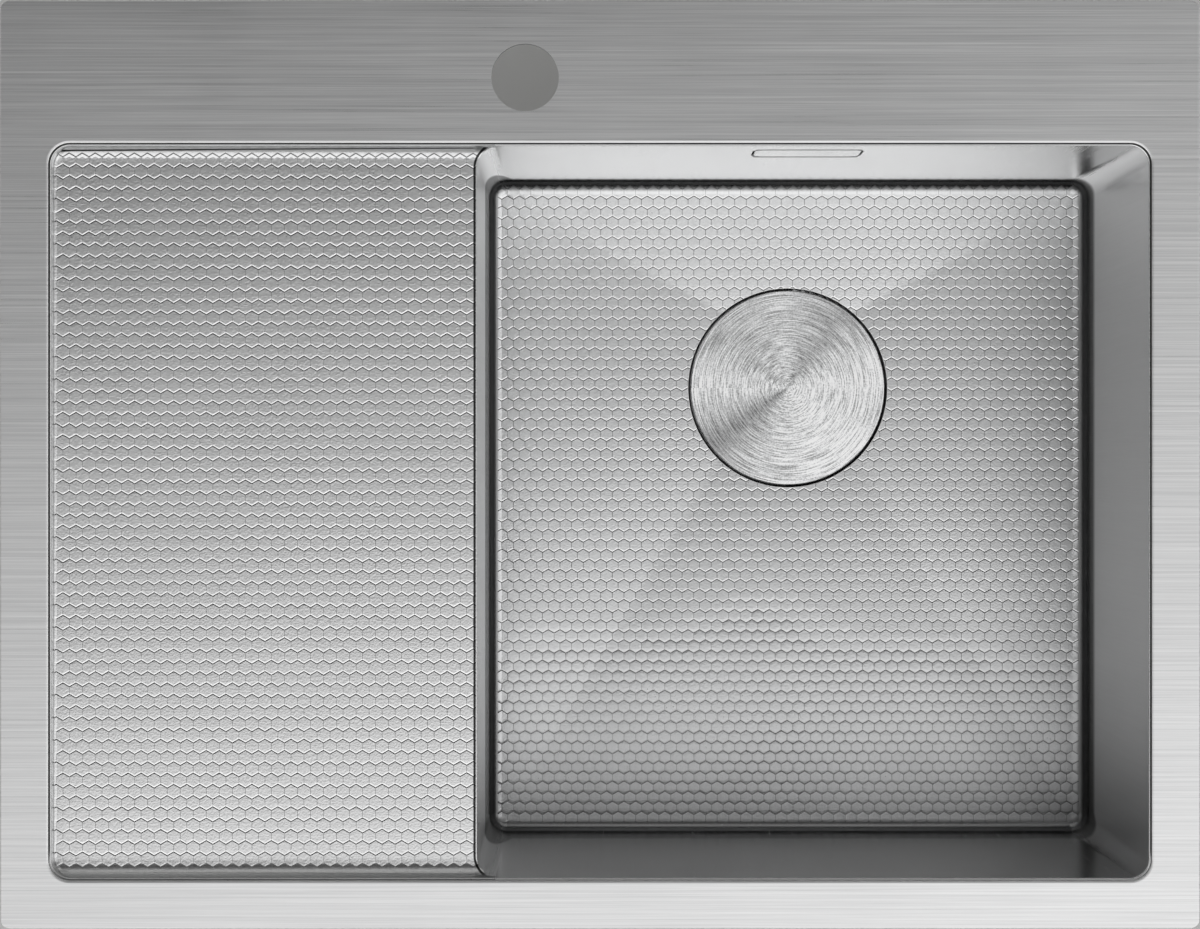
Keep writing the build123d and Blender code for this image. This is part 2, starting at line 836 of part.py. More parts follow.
def make_strainer_cup():
    """The steel flange and cup in the floor's recess, with an outlet crossed by arms."""
    under = cup_floor - strainer_sheet
    outer = post(cup_outside, under, flange_under)
    outer = fillet(outer.edges().group_by(Axis.Z)[0], cup_bend + strainer_sheet)
    outer += post(strainer_flange_radius, flange_under, flange_top)
    inner = post(cup_radius, cup_floor, flange_top)
    inner = fillet(inner.edges().group_by(Axis.Z)[0], cup_bend)
    cup = outer - inner
    rims = cup.edges().group_by(Axis.Z)[-1]
    lip = [edge for edge in rims if edge.radius < recess_hole_radius]
    cup = fillet(lip, cup_lip)
    cup -= post(outlet_radius, under, cup_floor) - post(hub_radius, under, cup_floor)
    reach = outlet_radius + strainer_sheet
    arm = slab(hub_radius / 2, reach, -arm_width / 2, arm_width / 2, under, cup_floor)
    cup += around(arm_count, arm)
    cup += post(hub_radius, cup_floor - hub_height, cup_floor)
    cup -= post(centre_screw_radius + post_gap, -far, cup_floor)
    return drain * (cup - screw_head(centre_screw_head + post_gap))


def screw_head(radius):
    """The cone of the centre screw's countersunk head, flush with the cup's floor."""
    depth = radius - centre_screw_radius
    low = cup_floor - depth
    return turned((0, cup_floor), (radius, cup_floor), (centre_screw_radius, low), (0, low))


def make_centre_screw():
    """The countersunk screw that pulls the waste pot up to the strainer cup."""
    shank = post(centre_screw_radius, cup_floor - centre_screw_reach, cup_floor)
    return drain * (shank + screw_head(centre_screw_head))


def make_waste_gasket():
    """The soft ring between the recess's underside and the waste pot."""
    low, high = pan_underside - waste_gasket_sheet, pan_underside
    inner, outer = strainer_gasket_inner, waste_flange_radius
    return drain * turned((inner, low), (outer, low), (outer, high), (inner, high))


def waste_heights():
    """The waste pot's top, its lower end and the funnel's throat."""
    top = pan_underside - waste_gasket_sheet
    bottom = top - pot_depth
    return top, bottom, bottom - pot_cone


def make_waste_body():
    """The moulded pot under the bowl, with the overflow's inlet and the screw's hub."""
    top, bottom, _ = waste_heights()
    flange_underside = top - waste_flange_sheet
    outside = post(waste_flange_radius, flange_underside, top) + post(pot_radius, bottom, top)
    inside = post(pot_radius - pot_wall, bottom, top)
    inlet = Location((0, 0, inlet_z), (-90, 0, 0))
    inlet_bar = Cylinder(spigot_radius, inlet_reach, align=(Align.CENTER, Align.CENTER, Align.MIN))
    inlet_bore = Cylinder(spigot_bore, inlet_reach, align=(Align.CENTER, Align.CENTER, Align.MIN))
    pot = outside + inlet * inlet_bar - inside - inlet * inlet_bore
    hub_top = cup_floor - hub_height - pot_hub_gap
    hub_bottom = hub_top - pot_hub_height
    reach = pot_radius - pot_wall / 2
    arm = slab(0, reach, -pot_arm_width / 2, pot_arm_width / 2, bottom, hub_top)
    pot += around(arm_count, arm)
    pot += post(pot_hub_radius, hub_bottom, hub_top)
    pot -= post(centre_screw_radius + post_gap, hub_bottom, hub_top)
    return drain * pot


def make_outlet_funnel():
    """The funnel that the pot stands in, with the outlet spigot below it."""
    _, bottom, throat = waste_heights()
    end = throat - outlet_length
    socket_inner = pot_radius + post_gap
    socket_radius = socket_inner + funnel_socket_wall
    socket_top = bottom + funnel_socket_height
    return drain * turned(
        (socket_inner, socket_top),
        (socket_radius, socket_top),
        (socket_radius, bottom - pot_wall),
        (outlet_spigot_radius, throat - pot_wall),
        (outlet_spigot_radius, end),
        (outlet_bore, end),
        (outlet_bore, throat),
        (pot_radius - pot_wall, bottom),
        (socket_inner, bottom),
    )


# The basket, which lifts out of the cup


def basket_heights():
    """The basket's underside and its rim."""
    under = cup_floor + seat_gap + seal_thickness
    return under, under + basket_height


def make_basket():
    """The pressed basket, slotted round its wall and drilled through its floor."""
    under, rim = basket_heights()
    rim_radius = cup_radius - basket_gap
    wall_radius = rim_radius - basket_rim
    outer = turned((0, under), (basket_bottom_radius, under), (wall_radius, rim), (0, rim))
    outer = fillet(outer.edges().group_by(Axis.Z)[0], basket_bend + basket_sheet)
    outer += post(rim_radius, rim - basket_sheet, rim)
    floor = under + basket_sheet
    inner_bottom = basket_bottom_radius - basket_sheet
    inner = turned((0, floor), (inner_bottom, floor), (wall_radius - basket_sheet, rim), (0, rim))
    inner = fillet(inner.edges().group_by(Axis.Z)[0], basket_bend)
    basket = outer - inner
    low = floor + (basket_height - slot_height) / 2 - basket_sheet
    slot = slab(basket_bottom_radius / 2, far, -slot_width / 2, slot_width / 2, low, low + slot_height)
    basket -= Part() + around(slot_count, slot)
    hole = post(hole_radius, under, floor)
    for from_edge, count in hole_rings:
        basket -= Part() + around(count, hole, basket_bottom_radius - from_edge)
    return drain * (basket - post(post_radius + post_gap, under, floor))


def make_basket_seal():
    """The rubber disc under the basket, which closes the cup's outlet."""
    low = cup_floor + seat_gap
    high = low + seal_thickness
    bore = post_radius + post_gap
    counter = collar_radius + post_gap
    ceiling = low + collar_height + post_gap
    return drain * turned(
        (bore, high),
        (seal_radius, high),
        (seal_radius + seal_flare, low),
        (counter, low),
        (counter, ceiling),
        (bore, ceiling),
    )


def make_basket_post():
    """The basket's knob on its post, with a collar above and below the basket's floor."""
    low = cup_floor + seat_gap
    under, _ = basket_heights()
    floor = under + basket_sheet
    top = cover_bottom - knob_gap
    return drain * turned(
        (0, low),
        (collar_radius, low),
        (collar_radius, low + collar_height),
        (post_radius, low + collar_height),
        (post_radius, floor),
        (collar_radius, floor),
        (collar_radius, floor + collar_height),
        (post_radius, floor + collar_height),
        (post_radius, top - knob_height - 2 * knob_bevel),
        (knob_radius - knob_bevel, top - knob_height),
        (knob_radius, top - knob_height + knob_bevel),
        (knob_radius, top - knob_bevel),
        (knob_radius - knob_bevel, top),
        (0, top),
    )


# The disc over the drain


def make_cover_disc():
    """The round plate that lies almost flush in the floor's recess."""
    disc = post(cover_radius, cover_bottom, cover_top)
    return drain * chamfer(disc.edges().group_by(Axis.Z)[-1], cover_bevel)


def make_cover_ring():
    """The ring under the disc, with feet that stand on the strainer's flange."""
    inner = cover_ring_middle - cover_ring_width / 2
    outer = cover_ring_middle + cover_ring_width / 2
    low = cover_bottom - cover_ring_height
    ring = turned((inner, low), (outer, low), (outer, cover_bottom), (inner, cover_bottom))
    foot = post(foot_radius, flange_top + seat_gap, cover_bottom)
    return drain * (ring + around(foot_count, foot, cover_ring_middle))


def make_nodes():
    """Every piece under its own name, as one solid or a list of like solids."""
    places = clip_places()
    nodes = {
        "deck_plate": make_deck_plate(),
        "tap_hole_stiffener": make_tap_hole_stiffener(),
        "sealing_strip": make_sealing_strip(),
        "bowl": make_bowl(),
        "drainboard": make_drainboard(),
        "drainboard_stiffeners": make_drainboard_stiffeners(),
        "sound_pads": make_sound_pads(),
        "clip_brackets": [place * clip_bracket() for place in places],
        "clip_screws": [place * clip_screw() for place in places],
        "overflow_cover": make_overflow_cover(),
        "overflow_gasket": make_overflow_gasket(),
        "overflow_housing": make_overflow_housing(),
        "overflow_studs": make_overflow_studs(),
        "overflow_nuts": make_overflow_nuts(),
        "overflow_cover_screws": make_overflow_cover_screws(),
        "overflow_hose": make_overflow_hose(),
        "hose_nuts": make_hose_nuts(),
        "hose_washers": make_hose_washers(),
        "strainer_gasket": make_strainer_gasket(),
        "strainer_cup": make_strainer_cup(),
        "waste_gasket": make_waste_gasket(),
        "waste_body": make_waste_body(),
        "outlet_funnel": make_outlet_funnel(),
        "centre_screw": make_centre_screw(),
        "basket": make_basket(),
        "basket_seal": make_basket_seal(),
        "basket_post": make_basket_post(),
        "cover_disc": make_cover_disc(),
        "cover_ring": make_cover_ring(),
    }
    for number, place in enumerate(places, start=1):
        nodes[f"clip_claw_{number}"] = place * clip_claw()
    return nodes


def main():
    os.makedirs("parts", exist_ok=True)
    for name, piece in make_nodes().items():
        solids = piece if isinstance(piece, list) else [piece]
        export_step(Compound([solid for part in solids for solid in part.solids()]), f"parts/{name}.step")


main()
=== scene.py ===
import math

import bmesh
import bpy
import numpy as np
from bpy.props import FloatProperty, FloatVectorProperty, IntProperty, PointerProperty
from mathutils import Matrix, Vector, geometry


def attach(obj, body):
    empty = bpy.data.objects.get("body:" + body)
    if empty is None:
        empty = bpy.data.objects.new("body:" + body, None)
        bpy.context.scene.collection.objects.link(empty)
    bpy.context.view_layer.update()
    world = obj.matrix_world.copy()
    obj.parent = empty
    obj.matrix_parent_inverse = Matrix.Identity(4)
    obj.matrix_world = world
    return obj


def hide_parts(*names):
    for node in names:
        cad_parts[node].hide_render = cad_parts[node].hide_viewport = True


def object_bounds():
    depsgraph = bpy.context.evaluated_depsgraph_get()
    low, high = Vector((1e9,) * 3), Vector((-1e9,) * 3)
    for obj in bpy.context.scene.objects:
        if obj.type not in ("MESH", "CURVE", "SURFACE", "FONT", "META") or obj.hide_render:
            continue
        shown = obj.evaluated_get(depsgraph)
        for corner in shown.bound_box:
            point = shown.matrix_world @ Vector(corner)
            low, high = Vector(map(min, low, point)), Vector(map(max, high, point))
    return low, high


bl_info = {
    "name": "Kitchen sink with drainboard",
    "version": (1, 0, 0),
    "blender": (4, 5, 0),
    "location": "3D View > Sidebar > Sink",
    "description": "Steel, honeycomb skins, waste and fixings round the sink's frame",
    "category": "Add Mesh",
}

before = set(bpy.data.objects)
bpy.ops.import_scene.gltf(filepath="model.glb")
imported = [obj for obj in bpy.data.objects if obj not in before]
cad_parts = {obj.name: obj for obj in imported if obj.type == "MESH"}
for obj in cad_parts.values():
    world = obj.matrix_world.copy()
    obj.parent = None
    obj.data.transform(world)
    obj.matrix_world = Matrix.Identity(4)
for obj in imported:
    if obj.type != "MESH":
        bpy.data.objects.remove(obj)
cad_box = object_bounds()

# Metres, +Z up, +Y towards the tap ledge, as in the frame.
DECK_TOP = 0.003
BOWL_X = 0.1098
DRAIN_Y = 0.0448
DRAIN = Vector((BOWL_X, DRAIN_Y, 0))
SEAM_X = -0.0542
# Left, right, front, back and corner radius
BOWL_OUTLINE = (-0.0642, 0.2838, -0.2138, 0.1648, 0.010)
BASIN_OUTLINE = (-0.2838, 0.2838, -0.2138, 0.1648, 0.0098)
OPENING_OUTLINE = (-0.285, 0.285, -0.215, 0.166, 0.011)
FLOOR_Z = -0.197
FLOOR_BEND = 0.008
FLOOR_FALL = 0.005
FLOOR_BASE_SETBACK = 0.010
FLOOR_APEX = (0.1098, 0.0688)
RECESS_RADIUS = 0.0582
BOARD_START = (-0.2838, -0.007)
BOARD_LENGTH = 0.2196
BOARD_FALL = 0.002
BOARD_COVES = (0.0075, 0.006)
OVERFLOW_Z = -0.0365
OVERFLOW_WALL = 0.1658
HOSE_Y = 0.1855
HOSE_TOP = -0.080
HOSE_BEND = 0.040
HOSE_INLET_Z = -0.232
HOSE_END_Y = 0.1193
HOSE_BORE = 0.0085
# The honeycombs' rows, and where the floor's honeycomb ends
BOARD_ROWS = range(-1, 62)
BOARD_ROW_Y = 0.15247
BOARD_ROW_STARTS = (-0.2793, -0.2827)
SKIN_CLEARANCE = 0.00015
FLOOR_ROWS = 63
FLOOR_ROW_CELLS = 50
FLOOR_ROW_Y = 0.159
FLOOR_ROW_SHIFT = -0.0006
FLOOR_HALF_WIDTH = 0.1696
FLOOR_FRONT = -0.2085
# Threads: crest radius, depth and pitch
STUD_THREAD = (0.002, 0.00036, 0.0007)
CENTRE_THREAD = (0.003, 0.0005, 0.001)
# The overflow's fixings, to each side of its middle
STUD_PLACE = 0.0365
COVER_SCREW_PLACE = 0.018
COVER_SCREW_Y = 0.1993
NUT_SETBACK = 0.004
# The outlet's pipe thread, the strainer's screw and the round seals' bore
OUTLET_LOW, OUTLET_HIGH = -0.2910, -0.2662
STRAINER_SCREW_Z = -0.2368
ROUND_SEAL_BORE = 0.0465
# How far from a wall the painted shade at its foot rises
RISE_WIDTH = 0.014
BLACK = (0, 0, 0, 1)
WHITE = (1.0, 1.0, 1.0)
# Painted reflection: the turned disc's bright and dull wedges, listed as share of a turn from the left, and
# tone
PAINTED_REFLECTION_WEDGES = ((0.0, 1.5), (0.1, 0.6), (0.2, 1.2), (0.37, 1.6), (0.45, 1.4))
PAINTED_REFLECTION_WEDGES += ((0.52, 1.6), (0.65, 0.8), (0.75, 1.2), (0.9, 1.0), (1.0, 1.5))


# Sizes and colours that a user would change


def length_setting(name, description, default, least=0.0001):
    return FloatProperty(name=name, description=description, default=default, min=least, unit="LENGTH")


def amount_setting(name, description, default, least=0.0):
    return FloatProperty(name=name, description=description, default=default, min=least)


def color_setting(name, description, default):
    about = {"name": name, "description": description, "subtype": "COLOR"}
    return FloatVectorProperty(default=default, min=0, max=1, **about)


class StageSettings(bpy.types.PropertyGroup):
    floor_color: color_setting("Floor", "Colour of the floor", (0.74, 0.74, 0.73))
    camera_height: length_setting("Camera height", "Height of the camera over the deck", 1.538, 0.5)
    lens: amount_setting("Lens", "Focal length in millimetres", 89.3, 10)
    back_light: amount_setting("Back light", "Brightness of the studio behind the sink", 0.06)
    top_light: amount_setting("Top light", "Brightness of the softbox just in front of the top", 1.32)
    front_light: amount_setting("Front light", "Brightness of the studio in front of the sink", 1.0)
    side_light: amount_setting("Side light", "Least brightness of the studio low down, all round", 0.6)


class HoneycombSettings(bpy.types.PropertyGroup):
    board_flats: length_setting("Drainboard cell", "Width over the drainboard cells' flats", 0.00677, 0.002)
    floor_flats: length_setting("Floor cell", "Width over the floor cells' flats", 0.0068, 0.002)
    groove_half: length_setting("Groove half width", "From a groove's bottom to its rim", 0.0005)
    groove_depth: length_setting("Groove depth", "From a groove's bottom up to its rim", 0.00012, 0.00002)
    crown: length_setting("Crown", "How far a cell's middle stands over its rim", 0.00002, 0)
    lift: length_setting("Lift", "From the sheet's surface to the grooves' bottoms", 0.00011, 0.00005)


class SteelSettings(bpy.types.PropertyGroup):
    color: color_setting("Steel", "Colour of the steel", (0.79, 0.795, 0.80))
    roughness: amount_setting("Roughness", "Roughness of the brushed steel", 0.3)
    zinc_color: color_setting("Zinc", "Colour of the zinc plated fixings", (0.56, 0.57, 0.59))


class MouldedSettings(bpy.types.PropertyGroup):
    plastic_color: color_setting("Waste plastic", "Colour of the waste's moulded pieces", (0.80, 0.80, 0.78))
    hose_color: color_setting("Hose", "Colour of the ribbed hose", (0.74, 0.74, 0.72))
    rubber_color: color_setting("Rubber", "Colour of the gaskets", (0.035, 0.035, 0.036))
    pad_color: color_setting("Damping pads", "Colour of the damping pads", (0.075, 0.075, 0.08))
    edge: length_setting("Soft edge", "Rounding of the soft pieces' edges", 0.0004)


class ThreadSettings(bpy.types.PropertyGroup):
    clamp_pitch: length_setting("Clamp pitch", "Pitch of the clamp screws' thread", 0.0008, 0.0002)
    outlet_pitch: length_setting("Outlet pitch", "Pitch of the outlet's pipe thread", 0.002309, 0.0005)
    sides: IntProperty(name="Sides", description="Facets round a thread", default=24, min=12)


class HoseSettings(bpy.types.PropertyGroup):
    rib_pitch: length_setting("Rib pitch", "From one rib to the next", 0.0064, 0.002)
    rib_crest: length_setting("Rib crest", "Radius over the ribs", 0.0122, 0.009)
    rib_valley: length_setting("Rib valley", "Radius between the ribs", 0.0102, 0.009)


# Shader nodes


def node(tree, kind, inputs=None, **settings):
    """Adds a node; each input is a value or an output to link from."""
    made = tree.nodes.new(kind)
    for name, value in settings.items():
        setattr(made, name, value)
    for key, value in (inputs or {}).items():
        if isinstance(value, bpy.types.NodeSocket):
            tree.links.new(value, made.inputs[key])
        else:
            made.inputs[key].default_value = value
    return made


def after(kind, inputs, **settings):
    """Adds a node to the tree that its inputs come from."""
    tree = next(value.id_data for value in inputs.values() if isinstance(value, bpy.types.NodeSocket))
    return node(tree, kind, inputs, **settings)


def link(value, target, name):
    target.id_data.links.new(value, target.inputs[name])


def maths(operation, *values):
    return after("ShaderNodeMath", dict(enumerate(values)), operation=operation).outputs[0]


def times(first, second):
    return maths("MULTIPLY", first, second)


def plus(first, second):
    return maths("ADD", first, second)


def vector_maths(operation, *values):
    return after("ShaderNodeVectorMath", dict(enumerate(values)), operation=operation).outputs[0]


def vector_measure(operation, *values):
    return after("ShaderNodeVectorMath", dict(enumerate(values)), operation=operation).outputs["Value"]


def separate(vector):
    return after("ShaderNodeSeparateXYZ", {0: vector}).outputs


def combine(*values):
    return after("ShaderNodeCombineXYZ", dict(enumerate(values))).outputs[0]


def mix_color(factor, first, second, blend="MIX"):
    inputs = {0: factor, 6: first, 7: second}
    return after("ShaderNodeMix", inputs, data_type="RGBA", blend_type=blend).outputs[2]


def remap(value, low, high, new_low=0.0, new_high=1.0, smooth=False):
    kind = "SMOOTHSTEP" if smooth else "LINEAR"
    inputs = {"Value": value, "From Min": low, "From Max": high, "To Min": new_low, "To Max": new_high}
    return after("ShaderNodeMapRange", inputs, interpolation_type=kind).outputs[0]


def band(value, low, high):
    """1 where a value lies between two soft limits."""
    return times(remap(value, *low), remap(value, *high, 1.0, 0.0))


def noise(vector, scale, detail=3.0, roughness=0.55):
    inputs = {"Vector": vector, "Scale": scale, "Detail": detail, "Roughness": roughness}
    return after("ShaderNodeTexNoise", inputs).outputs["Fac"]


def cells(vector, scale):
    return after("ShaderNodeTexVoronoi", {"Vector": vector, "Scale": scale}).outputs["Distance"]


def new_group(name, inputs, outputs):
    """A shader node group with named sockets: gives its inputs' values and its output node."""
    tree = bpy.data.node_groups.new(name, "ShaderNodeTree")
    for label, value in inputs.items():
        kind = "NodeSocketFloat" if isinstance(value, float) else "NodeSocketVector"
        socket = tree.interface.new_socket(name=label, in_out="INPUT", socket_type=kind)
        if value is not None:
            socket.default_value = value
    for label in outputs:
        tree.interface.new_socket(name=label, in_out="OUTPUT", socket_type="NodeSocketFloat")
    return tree.nodes.new("NodeGroupInput").outputs, tree.nodes.new("NodeGroupOutput")


def use_group(name, inputs):
    """Places a node group in a material, with its own values."""
    return after("ShaderNodeGroup", inputs, node_tree=bpy.data.node_groups[name]).outputs


def make_brushed_grain():
    """Fine lines along the grain, from three widths of stretched noise."""
    inputs = {"Vector": None, "Lines": (24.0, 2400.0, 2400.0)}
    start, end = new_group("brushed_grain", inputs, ["Grain", "Streaks"])
    lines = vector_maths("MULTIPLY", start["Vector"], start["Lines"])
    fine = noise(lines, 1.0, 4.0, 0.7)
    middle = noise(vector_maths("ADD", lines, (7.1, 3.3, 5.7)), 0.27, 3.0, 0.6)
    broad = noise(vector_maths("ADD", lines, (1.9, 8.2, 2.3)), 0.05, 2.0, 0.5)
    both = plus(times(fine, 0.55), times(middle, 0.45))
    link(both, end, "Grain")
    link(broad, end, "Streaks")


def make_edge_wear_and_highlight():
    """A mask that is 1 where the surface turns over an edge, for edge wear and a painted highlight."""
    start, end = new_group("edge_wear_and_highlight", {"Radius": 0.0006, "Vector": None}, ["Mask"])
    bevel = after("ShaderNodeBevel", {"Radius": start["Radius"]}, samples=4).outputs[0]
    normal = node(end.id_data, "ShaderNodeNewGeometry").outputs["Normal"]
    alike = vector_measure("DOT_PRODUCT", bevel, normal)
    turned = remap(alike, 0.995, 0.85, 0.0, 1.0)
    broken = remap(noise(start["Vector"], 900.0, 3.0), 0.35, 0.65, 0.4, 1.0)
    link(times(turned, broken), end, "Mask")


def make_smudges():
    """Soft blotches where hands and cloths have been, and a few small specks."""
    start, end = new_group("smudges", {"Vector": None, "Scale": 9.0}, ["Blotches", "Specks"])
    vector = start["Vector"]
    blotches = remap(noise(vector, start["Scale"], 4.0, 0.6), 0.35, 0.65, 0.0, 1.0)
    specks = remap(cells(vector, 420.0), 0.05, 0.10, 1.0, 0.0)
    rare = remap(noise(vector, 60.0, 2.0), 0.58, 0.66, 0.0, 1.0)
    link(blotches, end, "Blotches")
    link(times(specks, rare), end, "Specks")


def make_moulded_grain():
    """The fine, slightly uneven surface of a moulded or pressed soft material."""
    start, end = new_group("moulded_grain", {"Vector": None, "Scale": 1500.0}, ["Height", "Cloud"])
    vector, scale = start["Vector"], start["Scale"]
    fine = noise(vector, scale, 4.0, 0.6)
    height = plus(times(cells(vector, scale), 0.5), times(fine, 0.5))
    cloud = noise(vector, 28.0, 4.0, 0.6)
    link(height, end, "Height")
    link(cloud, end, "Cloud")


def make_outline_distance():
    """How far a point is inside a rectangle with round corners, in the plane of the first two axes."""
    inputs = {"Vector": None, "Middle": None, "Half": None, "Corner": 0.01}
    start, end = new_group("outline_distance", inputs, ["Distance"])
    corner = start["Corner"]
    offset = vector_maths("SUBTRACT", start["Vector"], start["Middle"])
    past = vector_maths("SUBTRACT", vector_maths("ABSOLUTE", offset), start["Half"])
    across, along = (plus(part, corner) for part in separate(past)[:2])
    outer = combine(maths("MAXIMUM", across, 0.0), maths("MAXIMUM", along, 0.0))
    length = vector_measure("LENGTH", outer)
    inner = maths("MINIMUM", maths("MAXIMUM", across, along), 0.0)
    distance = maths("SUBTRACT", corner, plus(length, inner))
    link(distance, end, "Distance")


def make_joint_shade():
    """Painted shade lines round the opening, at the top of the board's walls, at the seam and at the walls'
    foot.
    """
    names = ["Line", "Seam", "Bend", "Slot", "Edge"]
    start, end = new_group("joint_shade", {"Vector": None}, names)
    vector = start["Vector"]
    x, y, height = separate(vector)
    left, right, front, back, _ = BOWL_OUTLINE
    opening = outline_distance(vector, OPENING_OUTLINE)
    link(remap(opening, -0.0013, 0.0026, 0.0, -3.0), end, "Edge")
    # Painted shade in the gap round the opening, weaker at the front
    behind = remap(y, -0.208, -0.200, 0.3, 1.0)
    near = times(band(opening, (-0.0004, -0.0002), (0.0005, 0.0007)), behind)
    link(times(near, band(height, (0.0008, 0.0011), (0.0027, 0.0029))), end, "Line")
    inside = outline_distance(vector, BOWL_OUTLINE)
    # Painted shade at the top of the board's walls and at the seam with the bowl
    wall_top = band(height, (-0.0059, -0.0055), (-0.0050, -0.0046))
    beside = remap(opening, 0.0030, 0.0036, 1.0, 0.0)
    on_board = times(remap(x, SEAM_X - 0.012, SEAM_X - 0.010, 1.0, 0.0), behind)
    lip = times(times(wall_top, beside), on_board)
    at_board = band(height, (-0.0125, -0.0115), (-0.0045, -0.0035))
    at_board = times(at_board, remap(x, left + 0.008, left + 0.010, 1.0, 0.0))
    seam = times(band(inside, (-0.0018, -0.0016), (-0.0006, -0.0004)), at_board)
    link(maths("MAXIMUM", lip, seam), end, "Seam")
    within = remap(inside, -0.0006, -0.0002)
    foot = times(within, remap(inside, 0.0022, 0.0064, 1.0, 0.0, smooth=True))
    # The painted shade rises towards the left, right and front walls
    rise = remap(x, left, left + RISE_WIDTH, 0.056, 0.0)
    rise = plus(rise, remap(x, right - RISE_WIDTH, right, 0.0, 0.010))
    rise = plus(rise, remap(y, front, front + RISE_WIDTH, 0.018, 0.0))
    climbed = maths("SUBTRACT", height, rise)
    low = remap(climbed, FLOOR_Z + 0.012, FLOOR_Z + 0.024, 1.0, 0.0, smooth=True)
    link(times(foot, low), end, "Bend")
    # Painted shade in the gap round the overflow's cover, drawn flat
    lifted = times(maths("SUBTRACT", height, OVERFLOW_Z), 0.13)
    half_x, half_y = 0.0283, 0.00215
    gap = (BOWL_X - half_x, BOWL_X + half_x, -half_y, half_y, 0.0016)
    slot = band(outline_distance(combine(x, lifted), gap), (-0.0006, -0.0004), (0.0, 0.0002))
    on_wall = times(within, remap(y, back - 0.004, back - 0.003))
    high = remap(height, OVERFLOW_Z - 0.030, OVERFLOW_Z - 0.028)
    link(times(times(slot, on_wall), high), end, "Slot")


def outline_distance(vector, outline):
    left, right, front, back, corner = outline
    inputs = {
        "Vector": vector,
        "Middle": ((left + right) / 2, (front + back) / 2, 0),
        "Half": ((right - left) / 2, (back - front) / 2, 0),
        "Corner": corner,
    }
    return use_group("outline_distance", inputs)["Distance"]


def new_material(name):
    """A material with one Principled shader, and its object coordinates."""
    material = bpy.data.materials.new(name)
    material.use_nodes = True
    tree = material.node_tree
    tree.nodes.clear()
    output = node(tree, "ShaderNodeOutputMaterial")
    shader = node(tree, "ShaderNodeBsdfPrincipled")
    tree.links.new(shader.outputs[0], output.inputs["Surface"])
    place = node(tree, "ShaderNodeTexCoord").outputs["Object"]
    return material, tree, shader, place


def shades(color, factor):
    return tuple(min(1.0, channel * factor) for channel in color) + (1.0,)


def finish_surface(shader, base, rough, relief, metallic):
    """Links a material's colour, roughness and relief."""
    link(base, shader, "Base Color")
    shader.inputs["Metallic"].default_value = metallic
    link(rough, shader, "Roughness")
    link(after("ShaderNodeBump", relief).outputs[0], shader, "Normal")


def normal_of(tree):
    return node(tree, "ShaderNodeNewGeometry").outputs["Normal"]


def leaning(normal, lean):
    return vector_maths("NORMALIZE", vector_maths("ADD", normal, lean))


def paint_wall_shading(base, color, facing):
    """Painted shade on walls that face the right, the left and the front, and a painted highlight on those
    that face the back.
    """
    sides = plus(remap(facing[0], -1.0, 0.0, 0.18, 0.0), remap(facing[0], 0.0, 1.0, 0.0, 0.10))
    sides = plus(sides, remap(facing[1], 0.0, 1.0, 0.0, 0.26))
    base = mix_color(sides, base, BLACK)
    return mix_color(remap(facing[1], -1.0, 0.0, 0.8, 0.0), base, shades(color, 1.12))


def paint_groove_shading(tree, base, color):
    """Painted shade in the honeycomb's grooves, and on their flanks a painted highlight where they face the
    front and painted shade where they face the back.
    """
    names = ("flank", "groove")
    flank, groove = (node(tree, "ShaderNodeAttribute", attribute_name=name).outputs["Fac"] for name in names)
    base = mix_color(times(groove, 0.45), base, shades(color, 0.1))
    base = mix_color(remap(flank, 0.0, 1.0, 0.0, 0.9), base, shades(color, 1.3))
    return mix_color(remap(flank, -1.0, 0.0, 0.92, 0.0), base, shades(color, 0.08))


